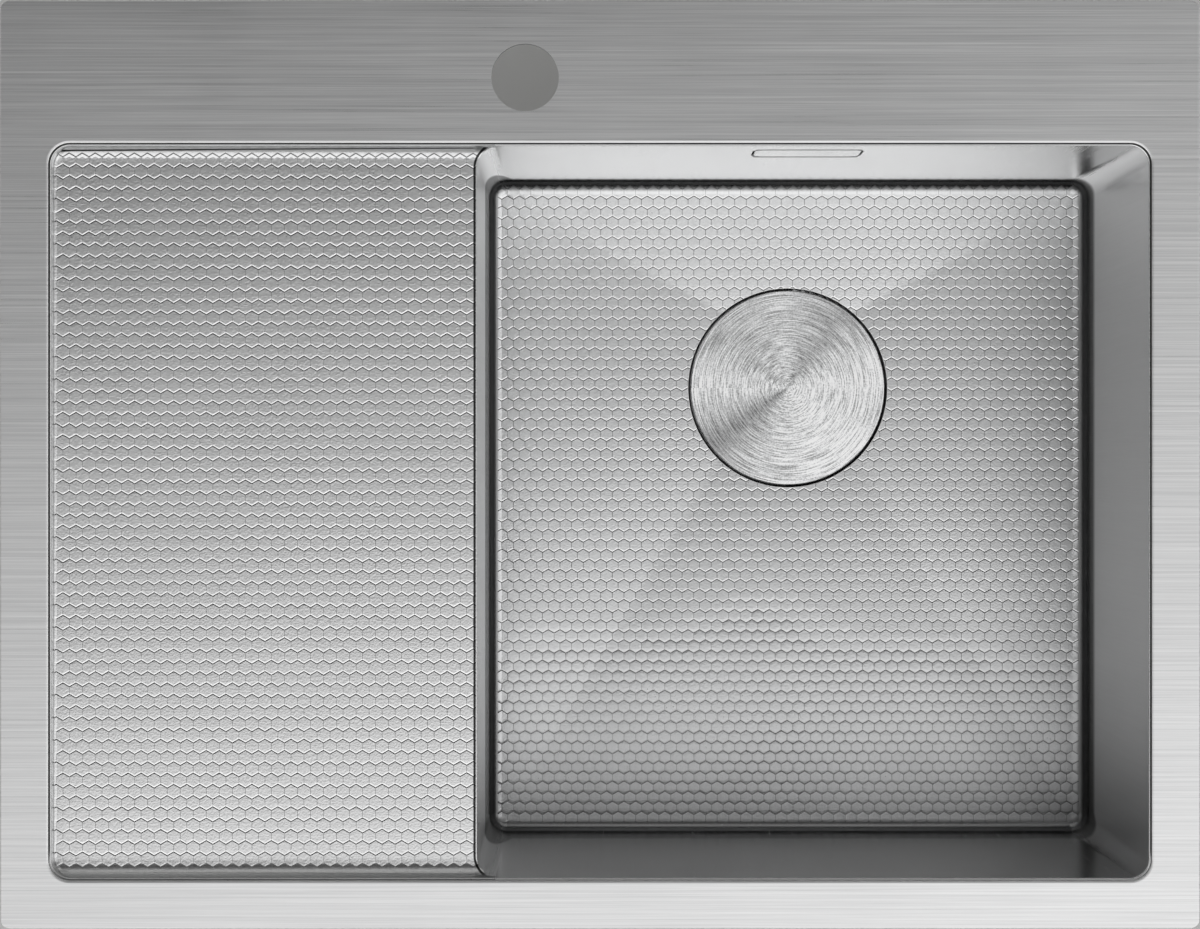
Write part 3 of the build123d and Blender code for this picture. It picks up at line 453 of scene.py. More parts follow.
def steel_material(name, color, roughness, lines, contrast=0.10, bump=0.25, joint="", pressed=0.0, wear_and_highlight=0.5):
    """Steel brushed in lines, with blotches, specks and edges lightened by wear and a painted highlight;
    pressed gives it an orange peel.
    """
    material, tree, shader, place = new_material(name)
    grain = use_group("brushed_grain", {"Vector": place, "Lines": lines})
    smudges = use_group("smudges", {"Vector": place})
    worn_and_lit_edge = use_group("edge_wear_and_highlight", {"Vector": place})["Mask"]
    fine = remap(grain["Grain"], 0.3, 0.7) if joint == "deck" else grain["Grain"]
    base = mix_color(fine, shades(color, 1 - contrast), shades(color, 1 + contrast))
    streaked = mix_color(grain["Streaks"], shades(WHITE, 0.96), shades(WHITE, 1.0))
    base = mix_color(1.0, base, streaked, "MULTIPLY")
    base = mix_color(times(smudges["Specks"], 0.2), base, shades(color, 0.55))
    # Edges lightened: part wear, part painted highlight
    base = mix_color(times(worn_and_lit_edge, wear_and_highlight), base, shades(color, 1.25))
    walled = joint in ("bowl", "board")
    if walled:
        facing = separate(normal_of(tree))
        # Painted shade and painted highlight on the walls by the way they face
        base = paint_wall_shading(base, color, facing)
    if joint == "floor":
        # Painted shade: the floor is darkened towards the right wall
        right = remap(separate(place)[0], 0.165, 0.26, 0.0, 0.10, smooth=True)
        base = mix_color(right, base, BLACK)
    if pressed:
        # Painted shade in the grooves, and painted highlight and shade on their flanks
        base = paint_groove_shading(tree, base, color)
    if joint:
        shade = use_group("joint_shade", {"Vector": place})
        # Painted shade in the gaps round the opening, at the top of the board's walls and at the seam
        tones = {"Line": 0.05, "Seam": 0.05}
        if joint in ("bowl", "floor"):
            # Painted shade at the walls' foot and in the gap round the overflow's cover
            tones.update(Bend=0.12, Slot=0.16)
        for mask, tone in tones.items():
            base = mix_color(shade[mask], base, shades(color, tone))
    rough = remap(grain["Grain"], 0.3, 0.7, roughness - 0.05, roughness + 0.05)
    if joint == "bowl":
        rough = plus(rough, times(maths("ABSOLUTE", facing[0]), 0.16))
    rough = plus(rough, times(smudges["Blotches"], 0.03))
    height = grain["Grain"]
    if joint:
        height = plus(height, times(shade["Edge"], 18.0))
    if pressed:
        height = plus(height, times(noise(place, 950.0, 1.0), pressed))
    relief = {"Strength": bump, "Distance": 0.00004, "Height": height}
    if walled:
        lean = combine(0.0, 0.0, remap(facing[1], -1.0, -0.5, 0.07, 0.0))
        relief["Normal"] = leaning(normal_of(tree), lean)
    finish_surface(shader, base, rough, relief, 1.0)
    return material


def reflection_wedge_ramp(angle):
    """The painted reflection's tone at an angle round the disc."""
    ramp = after("ShaderNodeValToRGB", {0: remap(angle, -math.pi, math.pi)})
    elements = ramp.color_ramp.elements
    for end, (position, tone) in zip(elements, (PAINTED_REFLECTION_WEDGES[0], PAINTED_REFLECTION_WEDGES[-1])):
        end.position, end.color = position, (tone, tone, tone, 1)
    for position, tone in PAINTED_REFLECTION_WEDGES[1:-1]:
        elements.new(position).color = (tone, tone, tone, 1)
    return ramp.outputs[0]


def turned_material(name, color, roughness):
    """Steel turned on a lathe, in rings about the drain, with a painted reflection of the wedges that such
    rings show.
    """
    material, tree, shader, place = new_material(name)
    x, y, _ = separate(vector_maths("SUBTRACT", place, tuple(DRAIN)))
    angle = maths("ARCTAN2", y, x)
    rings = combine(vector_measure("LENGTH", combine(x, y)), times(angle, 0.0015))
    fine = remap(noise(rings, 1400.0, 3.0, 0.75), 0.38, 0.62)
    speckle = remap(noise(place, 1000.0, 1.0), 0.36, 0.64)
    fine = plus(times(fine, 0.75), times(speckle, 0.25))
    base = mix_color(fine, shades(color, 0.22), shades(color, 1.25))
    # Painted reflection: the wedges' tones multiply the disc's colour
    base = mix_color(1.0, base, reflection_wedge_ramp(angle), "MULTIPLY")
    worn_and_lit_edge = use_group("edge_wear_and_highlight", {"Vector": place})["Mask"]
    # Edges lightened: part wear, part painted highlight
    base = mix_color(times(worn_and_lit_edge, 0.5), base, shades(color, 1.2))
    rough = remap(noise(rings, 420.0, 2.0, 0.5), 0.3, 0.7, roughness - 0.02, roughness + 0.02)
    normal = leaning(normal_of(tree), (0, -0.05, 0))
    relief = {"Strength": 0.3, "Distance": 0.00002, "Height": fine, "Normal": normal}
    finish_surface(shader, base, rough, relief, 1.0)
    return material


def moulded_material(name, color, roughness, scale=1500.0, bump=0.3, spread=0.08):
    """Plastic or rubber with a fine moulded surface, clouded colour and edges made paler by wear and a
    painted highlight.
    """
    material, _, shader, place = new_material(name)
    grain = use_group("moulded_grain", {"Vector": place, "Scale": scale})
    smudges = use_group("smudges", {"Vector": place, "Scale": 22.0})
    wear_and_highlight = use_group("edge_wear_and_highlight", {"Vector": place})["Mask"]
    base = mix_color(grain["Cloud"], shades(color, 1 - spread), shades(color, 1 + spread))
    base = mix_color(times(smudges["Specks"], 0.4), base, shades(color, 0.6))
    # Edges lightened: part wear, part painted highlight
    base = mix_color(times(wear_and_highlight, 0.4), base, shades(color, 1.2))
    rough = remap(smudges["Blotches"], 0.0, 1.0, roughness - 0.05, roughness + 0.07)
    relief = {"Strength": bump, "Distance": 0.0001, "Height": grain["Height"]}
    finish_surface(shader, base, rough, relief, 0.0)
    return material


def paint(finish, *nodes):
    """Gives CAD nodes a finish, in their own material slots."""
    for name in nodes:
        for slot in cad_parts[name].material_slots:
            slot.material = bpy.data.materials[finish]


# Meshes


def add_piece(name, mesh, finish, body, replaced=(), smooth=30.0):
    """Puts a mesh in the scene as a piece that rides on a body."""
    mesh.materials.clear()
    mesh.materials.append(bpy.data.materials[finish])
    mesh.shade_smooth()
    mesh.set_sharp_from_angle(angle=math.radians(smooth))
    piece = bpy.data.objects.new(name, mesh)
    bpy.context.scene.collection.objects.link(piece)
    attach(piece, body)
    if replaced:
        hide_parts(*replaced)
    return piece


def add_form(name, finish, slot, replaced, place, *forms, body="sink", smooth=30.0):
    """Adds a piece made of forms, all at one place."""
    mesh = form_mesh(name, *[moved(form, place) for form in forms])
    return add_piece(name, mesh, finish, body, [replaced], smooth)


def mesh_of(name, vertices, faces):
    mesh = bpy.data.meshes.new(name)
    mesh.from_pydata([tuple(vertex) for vertex in vertices], [], faces)
    mesh.update()
    return mesh


# Round, threaded and soft forms: lists of points and faces


def ring_faces(count, sides, closed=True):
    """Faces between rings of points, each ring joined to the next."""
    faces = []
    for row in range(count if closed else count - 1):
        here, further = row * sides, (row + 1) % count * sides
        for side in range(sides):
            beside = (side + 1) % sides
            faces.append((here + side, here + beside, further + beside, further + side))
    return faces


def turned_form(rows, sides=64, closed=True):
    """Rows of (radius, height) turned about Z; open rows get flat ends, and a radius may be a function."""
    points = []
    for radius, height in rows:
        for side in range(sides):
            turn = math.tau * side / sides
            reach = radius(turn) if callable(radius) else radius
            points.append(Vector((reach * math.cos(turn), reach * math.sin(turn), height)))
    count = len(rows)
    faces = ring_faces(count, sides, closed)
    if not closed:
        faces.append(tuple(range(sides)))
        faces.append(tuple((count - 1) * sides + side for side in range(sides)))
    return points, faces


def open_top(form):
    """A form without its last face, where a recessed top goes."""
    return form[0], form[1][:-1]


def soften(outline, radius, steps=3):
    """A closed outline with each corner eased into a short curve."""
    eased = []
    for index, corner in enumerate(outline):
        corner = Vector(corner)
        before = Vector(outline[index - 1]) - corner
        after = Vector(outline[(index + 1) % len(outline)]) - corner
        reach = min(radius, before.length * 0.45, after.length * 0.45)
        first, last = corner + before.normalized() * reach, corner + after.normalized() * reach
        for step in range(steps + 1):
            share = step / steps
            eased.append(first * (1 - share) ** 2 + corner * 2 * share * (1 - share) + last * share**2)
    return [tuple(point) for point in eased]


def soft_ring(inner, outer, low, high, edge, sides=96):
    """A flat ring with eased edges."""
    return turned_form(soften([(inner, low), (outer, low), (outer, high), (inner, high)], edge), sides)


def thread_form(crest, depth, pitch, low, high, sides, capped=True):
    """A helical thread about Z whose ends run out into its core."""
    root = crest - depth
    rows = int(4 * (high - low) / pitch) + 10
    points, faces, places = [], [], {}

    def place(row, side):
        if side == sides:
            row, side = row + 4, 0
        height = low - pitch + pitch * (row / 4 + side / sides)
        height = min(max(height, low), high)
        rise = depth if row % 4 in (1, 2) else 0.0
        radius = root + min(rise, height - low, high - height)
        turn = math.tau * side / sides
        point = (radius * math.cos(turn), radius * math.sin(turn), height)
        key = tuple(round(value * 1e7) for value in point)
        if key not in places:
            places[key] = len(points)
            points.append(Vector(point))
        return places[key]

    for row in range(rows):
        for side in range(sides):
            steps = ((0, 0), (0, 1), (1, 1), (1, 0))
            corners = tuple(dict.fromkeys(place(row + up, side + on) for up, on in steps))
            if len(corners) > 2:
                faces.append(corners)
    if capped:
        for height in (low, high):
            level = [index for index, point in enumerate(points) if abs(point.z - height) < 1e-8]
            faces.append(tuple(sorted(level, key=lambda n: math.atan2(points[n].y, points[n].x))))
    return points, faces


def hexagon_form(flat, low, high, bore=0.0, ends=(True, True)):
    """A hexagon of half the width over its flats, with corners eased at its free ends as on a nut."""
    ease = 0.16 * flat
    heights = [(low, 0.0)] + [(low + ease * share / 1.7, ease * share) for share in (0.4, 0.8, 1.2)]
    if not ends[0]:
        heights = [(low, 1.0)]
    upper = [(high - ease * share / 1.7, ease * share) for share in (1.2, 0.8, 0.4)] + [(high, 0.0)]
    if not ends[1]:
        upper = [(high, 1.0)]

    def reach(room):
        def radius(turn):
            corner = flat / math.cos((turn + math.pi / 6) % (math.pi / 3) - math.pi / 6)
            return min(corner, flat * 0.97 + room)

        return radius

    rows = [(reach(room), height) for height, room in heights + upper]
    if not bore:
        return turned_form(rows, 72, closed=False)
    return turned_form(rows + [(bore, high), (bore, low)], 72)


def recessed_form(radius, height, outline, depth, sides):
    """A flat round top at a height, with a recess of a given outline pressed into it."""
    sheet = bmesh.new()
    turns = [math.tau * side / sides for side in range(sides)]
    rim = [sheet.verts.new((radius * math.cos(turn), radius * math.sin(turn), height)) for turn in turns]
    mouth = [sheet.verts.new((x, y, height)) for x, y in outline]
    loops = [sheet.edges.new((a, b)) for ring in (rim, mouth) for a, b in zip(ring, ring[1:] + ring[:1])]
    bmesh.ops.triangle_fill(sheet, edges=loops, use_beauty=True)
    base = [sheet.verts.new((x * 0.85, y * 0.85, height - depth)) for x, y in outline]
    for index in range(len(outline)):
        after = (index + 1) % len(outline)
        sheet.faces.new((mouth[index], mouth[after], base[after], base[index]))
    sheet.faces.new(base)
    sheet.verts.index_update()
    points = [vertex.co.copy() for vertex in sheet.verts]
    faces = [tuple(vertex.index for vertex in face.verts) for face in sheet.faces]
    sheet.free()
    return points, faces


def moved(form, matrix):
    points, faces = form
    return [matrix @ point for point in points], faces


def at(x, y, z, along="Z"):
    """A place whose own Z axis points up, or back towards the tap ledge."""
    turn = Matrix.Rotation(math.radians(-90), 4, "X") if along == "Y" else Matrix.Identity(4)
    return Matrix.Translation((x, y, z)) @ turn


def form_mesh(name, *forms):
    """One mesh of several forms, with its faces turned outwards."""
    points, faces = [], []
    for more, theirs in forms:
        start = len(points)
        points += more
        faces += [tuple(start + index for index in face) for face in theirs]
    mesh = mesh_of(name, points, faces)
    shell = bmesh.new()
    shell.from_mesh(mesh)
    bmesh.ops.remove_doubles(shell, verts=shell.verts, dist=1e-7)
    bmesh.ops.recalc_face_normals(shell, faces=shell.faces)
    shell.to_mesh(mesh)
    shell.free()
    return mesh


def soft_copy(name, edge):
    """A flat soft piece in its own shape, with every edge rounded."""
    shell = bmesh.new()
    shell.from_mesh(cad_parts[name].data)
    bmesh.ops.remove_doubles(shell, verts=shell.verts, dist=1e-6)
    bmesh.ops.dissolve_limit(shell, angle_limit=math.radians(3), verts=shell.verts, edges=shell.edges)
    edges = [side for side in shell.edges if side.calc_face_angle(0) > math.radians(40)]
    how = {"segments": 3, "profile": 0.5, "affect": "EDGES", "clamp_overlap": True}
    bmesh.ops.bevel(shell, geom=edges, offset=edge, **how)
    mesh = bpy.data.meshes.new(name + "_soft")
    shell.to_mesh(mesh)
    shell.free()
    return mesh


def round_rectangle(half_x, half_y, corner, steps=6):
    """Points round a rectangle with round corners, anticlockwise."""
    points = []
    for quarter, (side_x, side_y) in enumerate(((1, 1), (-1, 1), (-1, -1), (1, -1))):
        for step in range(steps + 1):
            turn = math.radians(90 * (quarter + step / steps))
            x = side_x * (half_x - corner) + corner * math.cos(turn)
            points.append((x, side_y * (half_y - corner) + corner * math.sin(turn)))
    return points


# The honeycomb skins


def rounded_distance(x, y, outline):
    """How far a point is inside a rectangle with round corners."""
    left, right, front, back, corner = outline
    across = abs(x - (left + right) / 2) - ((right - left) / 2 - corner)
    along = abs(y - (front + back) / 2) - ((back - front) / 2 - corner)
    outside = math.hypot(max(across, 0), max(along, 0)) + min(max(across, along), 0)
    return corner - outside


def bend_height(distance, radius):
    """How far a rounded foot of a wall stands over the floor at a distance from the wall."""
    inward = radius - min(max(distance, 0), radius)
    return radius - math.sqrt(radius * radius - inward * inward)


def floor_height(x, y):
    """The bowl floor's surface, with its four slopes and the bend up to the walls."""
    height = FLOOR_Z + bend_height(rounded_distance(x, y, BOWL_OUTLINE), FLOOR_BEND)
    left, right, front, back, _ = BOWL_OUTLINE
    left, right = left + FLOOR_BASE_SETBACK, right - FLOOR_BASE_SETBACK
    front, back = front + FLOOR_BASE_SETBACK, back - FLOOR_BASE_SETBACK
    apex_x, apex_y = FLOOR_APEX
    shares = (
        (x - left) / (apex_x - left),
        (right - x) / (right - apex_x),
        (y - front) / (apex_y - front),
        (back - y) / (back - apex_y),
    )
    return height - FLOOR_FALL * max(min(shares), 0)


def board_height(x, y):
    """The drainboard's surface, with its fall and its coves at the front and back."""
    start_x, start_z = BOARD_START
    _, _, front, back, _ = BASIN_OUTLINE
    height = start_z - BOARD_FALL * (x - start_x) / BOARD_LENGTH
    height += bend_height(y - front, BOARD_COVES[0])
    return height + bend_height(back - y, BOARD_COVES[1])


class Skin:
    """A honeycomb skin over a surface: points in plan with a height over it, and their faces."""

    def __init__(self, settings, flats):
        self.settings = settings
        self.radius = flats / math.sqrt(3)
        self.points = []
        self.heights = []
        self.faces = []
        self.shared = {}

    def point(self, x, y, height):
        self.points.append((x, y))
        self.heights.append(height)
        return len(self.points) - 1

    def corner(self, x, y):
        """A groove's corner, which up to three cells share."""
        key = (round(x * 1e5), round(y * 1e5))
        if key not in self.shared:
            self.shared[key] = self.point(x, y, self.settings.lift)
        return self.shared[key]

    def cell(self, x, y):
        """One cell: a groove's flank all round a nearly flat top."""
        turns = [math.radians(30 + 60 * side) for side in range(6)]
        top = self.settings.lift + self.settings.groove_depth * groove_strength(x, y)
        half = self.settings.groove_half
        flat = self.radius * math.cos(math.radians(30))
        across = flat - 0.35 * half
        back, front = ((flat - share * half) * 2 / math.sqrt(3) for share in (1.0, 1.15))
        drop = across / math.sqrt(3)
        rim = [(across, back - drop), (0, back), (-across, back - drop)]
        rim += [(-across, drop - front), (0, -front), (across, drop - front)]
        crown = self.settings.crown
        rings = [[self.corner(x + self.radius * math.cos(t), y + self.radius * math.sin(t)) for t in turns]]
        for share, rise in ((1.0, 0.0), (0.55, 0.7)):
            rings.append([self.point(x + share * dx, y + share * dy, top + crown * rise) for dx, dy in rim])
        middle = self.point(x, y, top + crown)
        for outer, inner in zip(rings, rings[1:]):
            for side in range(6):
                after = (side + 1) % 6
                self.faces.append((outer[side], outer[after], inner[after], inner[side]))
        for side in range(6):
            self.faces.append((rings[-1][side], rings[-1][(side + 1) % 6], middle))

    def trim(self, inside):
        """Cuts away what lies where inside() is below zero."""
        values = [inside(x, y) for x, y in self.points]
        cuts = {}

        def cut(a, b):
            key = (min(a, b), max(a, b))
            if key not in cuts:
                share = values[a] / (values[a] - values[b])
                (ax, ay), (bx, by) = self.points[a], self.points[b]
                height = self.heights[a] + share * (self.heights[b] - self.heights[a])
                cuts[key] = self.point(ax + share * (bx - ax), ay + share * (by - ay), height)
                values.append(0.0)
            return cuts[key]

        kept = []
        for face in self.faces:
            outline = []
            for index, after in zip(face, face[1:] + face[:1]):
                if values[index] >= 0:
                    outline.append(index)
                if (values[index] >= 0) != (values[after] >= 0) and values[index] != 0 and values[after] != 0:
                    outline.append(cut(index, after))
            if len(set(outline)) > 2:
                kept.append(tuple(dict.fromkeys(outline)))
        self.faces = kept

    def skirt(self):
        """Closes the skin's edge down to just under the sheet's surface."""
        used = {}
        for face in self.faces:
            for a, b in zip(face, face[1:] + face[:1]):
                used[(a, b)] = used.get((a, b), 0) + 1
        below = {}
        for a, b in list(used):
            if (b, a) in used:
                continue
            for index in (a, b):
                if index not in below:
                    below[index] = self.point(*self.points[index], -0.00003)
            self.faces.append((b, a, below[a], below[b]))

    def mesh(self, name, surface):
        """The skin's mesh, each point pushed out along the surface's normal."""
        vertices = []
        step = 0.0001
        for (x, y), height in zip(self.points, self.heights):
            z = surface(x, y)
            slope_x = (surface(x + step, y) - surface(x - step, y)) / (2 * step)
            slope_y = (surface(x, y + step) - surface(x, y - step)) / (2 * step)
            normal = Vector((-slope_x, -slope_y, 1)).normalized()
            vertices.append(Vector((x, y, z)) + normal * height)
        used = sorted({index for face in self.faces for index in face})
        place = {index: number for number, index in enumerate(used)}
        faces = [tuple(place[index] for index in face) for face in self.faces]
        mesh = mesh_of(name, [vertices[index] for index in used], faces)
        flanks = np.array([self.facing(face) for face in self.faces])
        mesh.attributes.new("flank", "FLOAT", "FACE").data.foreach_set("value", flanks[:, 0])
        mesh.attributes.new("groove", "FLOAT", "FACE").data.foreach_set("value", flanks[:, 1])
        return mesh

    def facing(self, face):
        """How far a groove's flank faces the front (1) or the back (-1), and 1 if it is a flank at all."""
        normal = geometry.normal([Vector((*self.points[index], self.heights[index])) for index in face])
        steep = math.hypot(normal.x, normal.y)
        if steep < 0.04 or min(self.heights[index] for index in face) < 0:
            return 0.0, 0.0
        return -normal.y / steep * groove_strength(*self.points[face[0]]), 1.0


def groove_strength(x, y):
    """The grooves' depth, which drifts a little over the pressed sheet."""
    wave = math.sin(23 * x + 4 * math.sin(17 * y)) + math.sin(31 * y + 3 * math.sin(19 * x + 1))
    fade = 0.5 * min(max((-0.06 - y) / 0.08, 0), 1) if x > SEAM_X else 0
    return 1 + 0.06 * wave - fade


class SINK_OT_board_honeycomb(bpy.types.Operator):
    """Presses the honeycomb into the drainboard"""

    bl_idname = "sink.board_honeycomb"
    bl_label = "Drainboard honeycomb"

    def execute(self, context):
        settings = context.scene.sink_honeycomb
        flats = settings.board_flats
        pitch = flats * math.sqrt(3) / 2
        skin = Skin(settings, flats)
        for row in BOARD_ROWS:
            y = BOARD_ROW_Y - row * pitch
            x = BOARD_ROW_STARTS[row % 2]
            while x < SEAM_X:
                skin.cell(x, y)
                x += flats
        left = BASIN_OUTLINE[0] + SKIN_CLEARANCE
        skin.trim(lambda x, y: x - left)
        skin.trim(lambda x, y: rounded_distance(x, y, BASIN_OUTLINE) - SKIN_CLEARANCE)
        skin.trim(lambda x, y: SEAM_X - 0.0002 - x)
        skin.trim(lambda x, y: -0.0004 - rounded_distance(x, y, BOWL_OUTLINE))
        skin.skirt()
        mesh = skin.mesh("board_honeycomb", board_height)
        add_piece("board_honeycomb", mesh, "embossed_board", "sink", smooth=9.0)
        return {"FINISHED"}


class SINK_OT_floor_honeycomb(bpy.types.Operator):
    """Presses the honeycomb into the bowl's floor, up to the drain's recess"""

    bl_idname = "sink.floor_honeycomb"
    bl_label = "Floor honeycomb"

    def execute(self, context):
        settings = context.scene.sink_honeycomb
        flats = settings.floor_flats
        pitch = flats * math.sqrt(3) / 2
        skin = Skin(settings, flats)
        for row in range(FLOOR_ROWS):
            y = FLOOR_ROW_Y - row * pitch
            count = FLOOR_ROW_CELLS + row % 2
            for number in range(count):
                x = BOWL_X + FLOOR_ROW_SHIFT + (number - (count - 1) / 2) * flats
                if math.hypot(x - BOWL_X, y - DRAIN_Y) > RECESS_RADIUS - flats:
                    skin.cell(x, y)
        skin.trim(lambda x, y: math.hypot(x - BOWL_X, y - DRAIN_Y) - RECESS_RADIUS - 0.0002)
        skin.trim(lambda x, y: FLOOR_HALF_WIDTH - abs(x - BOWL_X))
        skin.trim(lambda x, y: y - FLOOR_FRONT)
        skin.skirt()
        mesh = skin.mesh("floor_honeycomb", floor_height)
        add_piece("floor_honeycomb", mesh, "embossed_floor", "sink", smooth=9.0)
        return {"FINISHED"}


def clamp_places():
    """Where each clamp screw's axis stands under the ledge, with the height of the ledge's underside."""
    places = [(side * 0.175, -0.222, 0.0005) for side in (1, -1)]
    places += [(side * 0.292, -0.040, 0.0005) for side in (1, -1)]
    return places + [(side * 0.210, 0.222, 0.0015) for side in (1, -1)]


class SINK_OT_clamp_screws(bpy.types.Operator):
    """Makes the clamps' threaded screws with their hexagon heads"""

    bl_idname = "sink.clamp_screws"
    bl_label = "Clamp screws"

    def execute(self, context):
        settings = context.scene.sink_threads
        radius, depth, bottom, top = 0.0025, 0.00045, -0.047, -0.008
        shank = thread_form(radius, depth, settings.clamp_pitch, bottom, top, settings.sides)
        head = hexagon_form(0.00398, -0.0505, bottom, ends=(True, False))
        for number, (x, y, z) in enumerate(clamp_places(), start=1):
            turn = Matrix.Rotation(0 if abs(x) > 0.28 else math.radians(90), 4, "Z")
            name = f"clamp_screw_{number}"
            add_form(name, "zinc_fixings", "fixing_steel", "clip_screws", at(x, y, z) @ turn, shank, head)
        return {"FINISHED"}


class SINK_OT_overflow_fixings(bpy.types.Operator):
    """Makes the overflow's studs, nuts and cross-recessed screws"""

    bl_idname = "sink.overflow_fixings"
    bl_label = "Overflow fixings"

    def execute(self, context):
        sides = context.scene.sink_threads.sides
        stud = thread_form(*STUD_THREAD, 0.0, 0.009, sides)
        nut = hexagon_form(0.00346, 0.0, 0.0032, bore=STUD_THREAD[0])
        screw = self.screw(sides)
        for number, side in enumerate((-1, 1), start=1):
            x = BOWL_X + side * STUD_PLACE
            screw_x = BOWL_X + side * COVER_SCREW_PLACE
            fixings = (
                ("stud", "overflow_studs", x, OVERFLOW_WALL, [stud]),
                ("nut", "overflow_nuts", x, OVERFLOW_WALL + NUT_SETBACK, [nut]),
                ("screw", "overflow_cover_screws", screw_x, COVER_SCREW_Y, screw),
            )
            for kind, replaced, across, y, forms in fixings:
                place = at(across, y, OVERFLOW_Z, "Y")
                add_form(f"overflow_{kind}_{number}", "zinc_fixings", "fixing_steel", replaced, place, *forms)
        return {"FINISHED"}

    def screw(self, sides):
        """A pan head with a cross recess, on a threaded shank."""
        arm, half = 0.0019, 0.00042
        cross = [(arm, -half), (arm, half), (half, half), (half, arm), (-half, arm), (-half, half)]
        cross += [(-x, -y) for x, y in cross]
        rim = [(0.0034, 0.0), (0.0038, 0.0004), (0.0038, 0.0011), (0.0036, 0.0017), (0.0031, 0.0022)]
        rim.append((0.0024, 0.0024))
        dome = open_top(turned_form([(0.0019, 0.0)] + rim, 48, closed=False))
        top = recessed_form(0.0024, 0.0024, cross, 0.0013, 48)
        return thread_form(*STUD_THREAD, -0.0112, 0.0, sides), dome, top


class SINK_OT_waste(bpy.types.Operator):
    """Makes the outlet's funnel with its pipe thread, and the screw in the middle of the strainer"""

    bl_idname = "sink.waste"
    bl_label = "Waste outlet"

    def execute(self, context):
        settings = context.scene.sink_threads
        crest, root = 0.0239, 0.02242
        outline = [(0.04805, -0.246), (0.05005, -0.246), (0.05005, -0.2526), (crest, -0.2636)]
        core, bore = root - 0.0001, 0.0200
        outline += [(crest, -0.2660), (core, -0.2664), (core, OUTLET_LOW), (bore, OUTLET_LOW)]
        outline += [(bore, -0.2610), (0.0454, -0.2500), (0.04805, -0.2500)]
        funnel = turned_form(soften(outline, 0.0006), 96)
        pitch = settings.outlet_pitch
        thread = thread_form(crest, crest - root, pitch, OUTLET_LOW, OUTLET_HIGH, 96, capped=False)
        place = Matrix.Translation(DRAIN)
        turns = [Matrix.Rotation(math.radians(45 * number + 22.5), 4, "Z") for number in range(8)]
        webs = [moved(self.web(), place @ turn) for turn in turns]
        mesh = form_mesh("waste_funnel", moved(funnel, place), moved(thread, place), *webs)
        add_piece("waste_funnel", mesh, "moulded_waste", "sink", ["outlet_funnel"])
        place = at(BOWL_X, DRAIN_Y, STRAINER_SCREW_Z)
        slot = [(0.0044, -0.0008), (0.0044, 0.0008), (-0.0044, 0.0008), (-0.0044, -0.0008)]
        shank = thread_form(*CENTRE_THREAD, -0.025, -0.0022, settings.sides)
        rim = [(0.0027, -0.0024), (0.0030, -0.0024), (0.0054, -0.0001), (0.0053, 0.0)]
        cone = open_top(turned_form(rim, 72, closed=False))
        top = recessed_form(0.0053, 0.0, slot, 0.0014, 72)
        add_form("strainer_screw", "satin_fixings", "fixing_steel", "centre_screw", place, shank, cone, top)
        return {"FINISHED"}

    def web(self):
        """One of the thin ribs that stiffen the funnel's cone."""
        outline = [(0.0498, -0.2524), (0.0498, -0.2548), (0.0270, -0.2660)]
        outline += [(0.0236, -0.2660), (0.0236, -0.2630)]
        half = 0.0008
        points = [Vector((x, side * half, z)) for side in (-1, 1) for x, z in outline]
        count = len(outline)
        faces = [tuple(range(count)), tuple(range(count, 2 * count))]
        faces += [(n, (n + 1) % count, count + (n + 1) % count, count + n) for n in range(count)]
        return points, faces


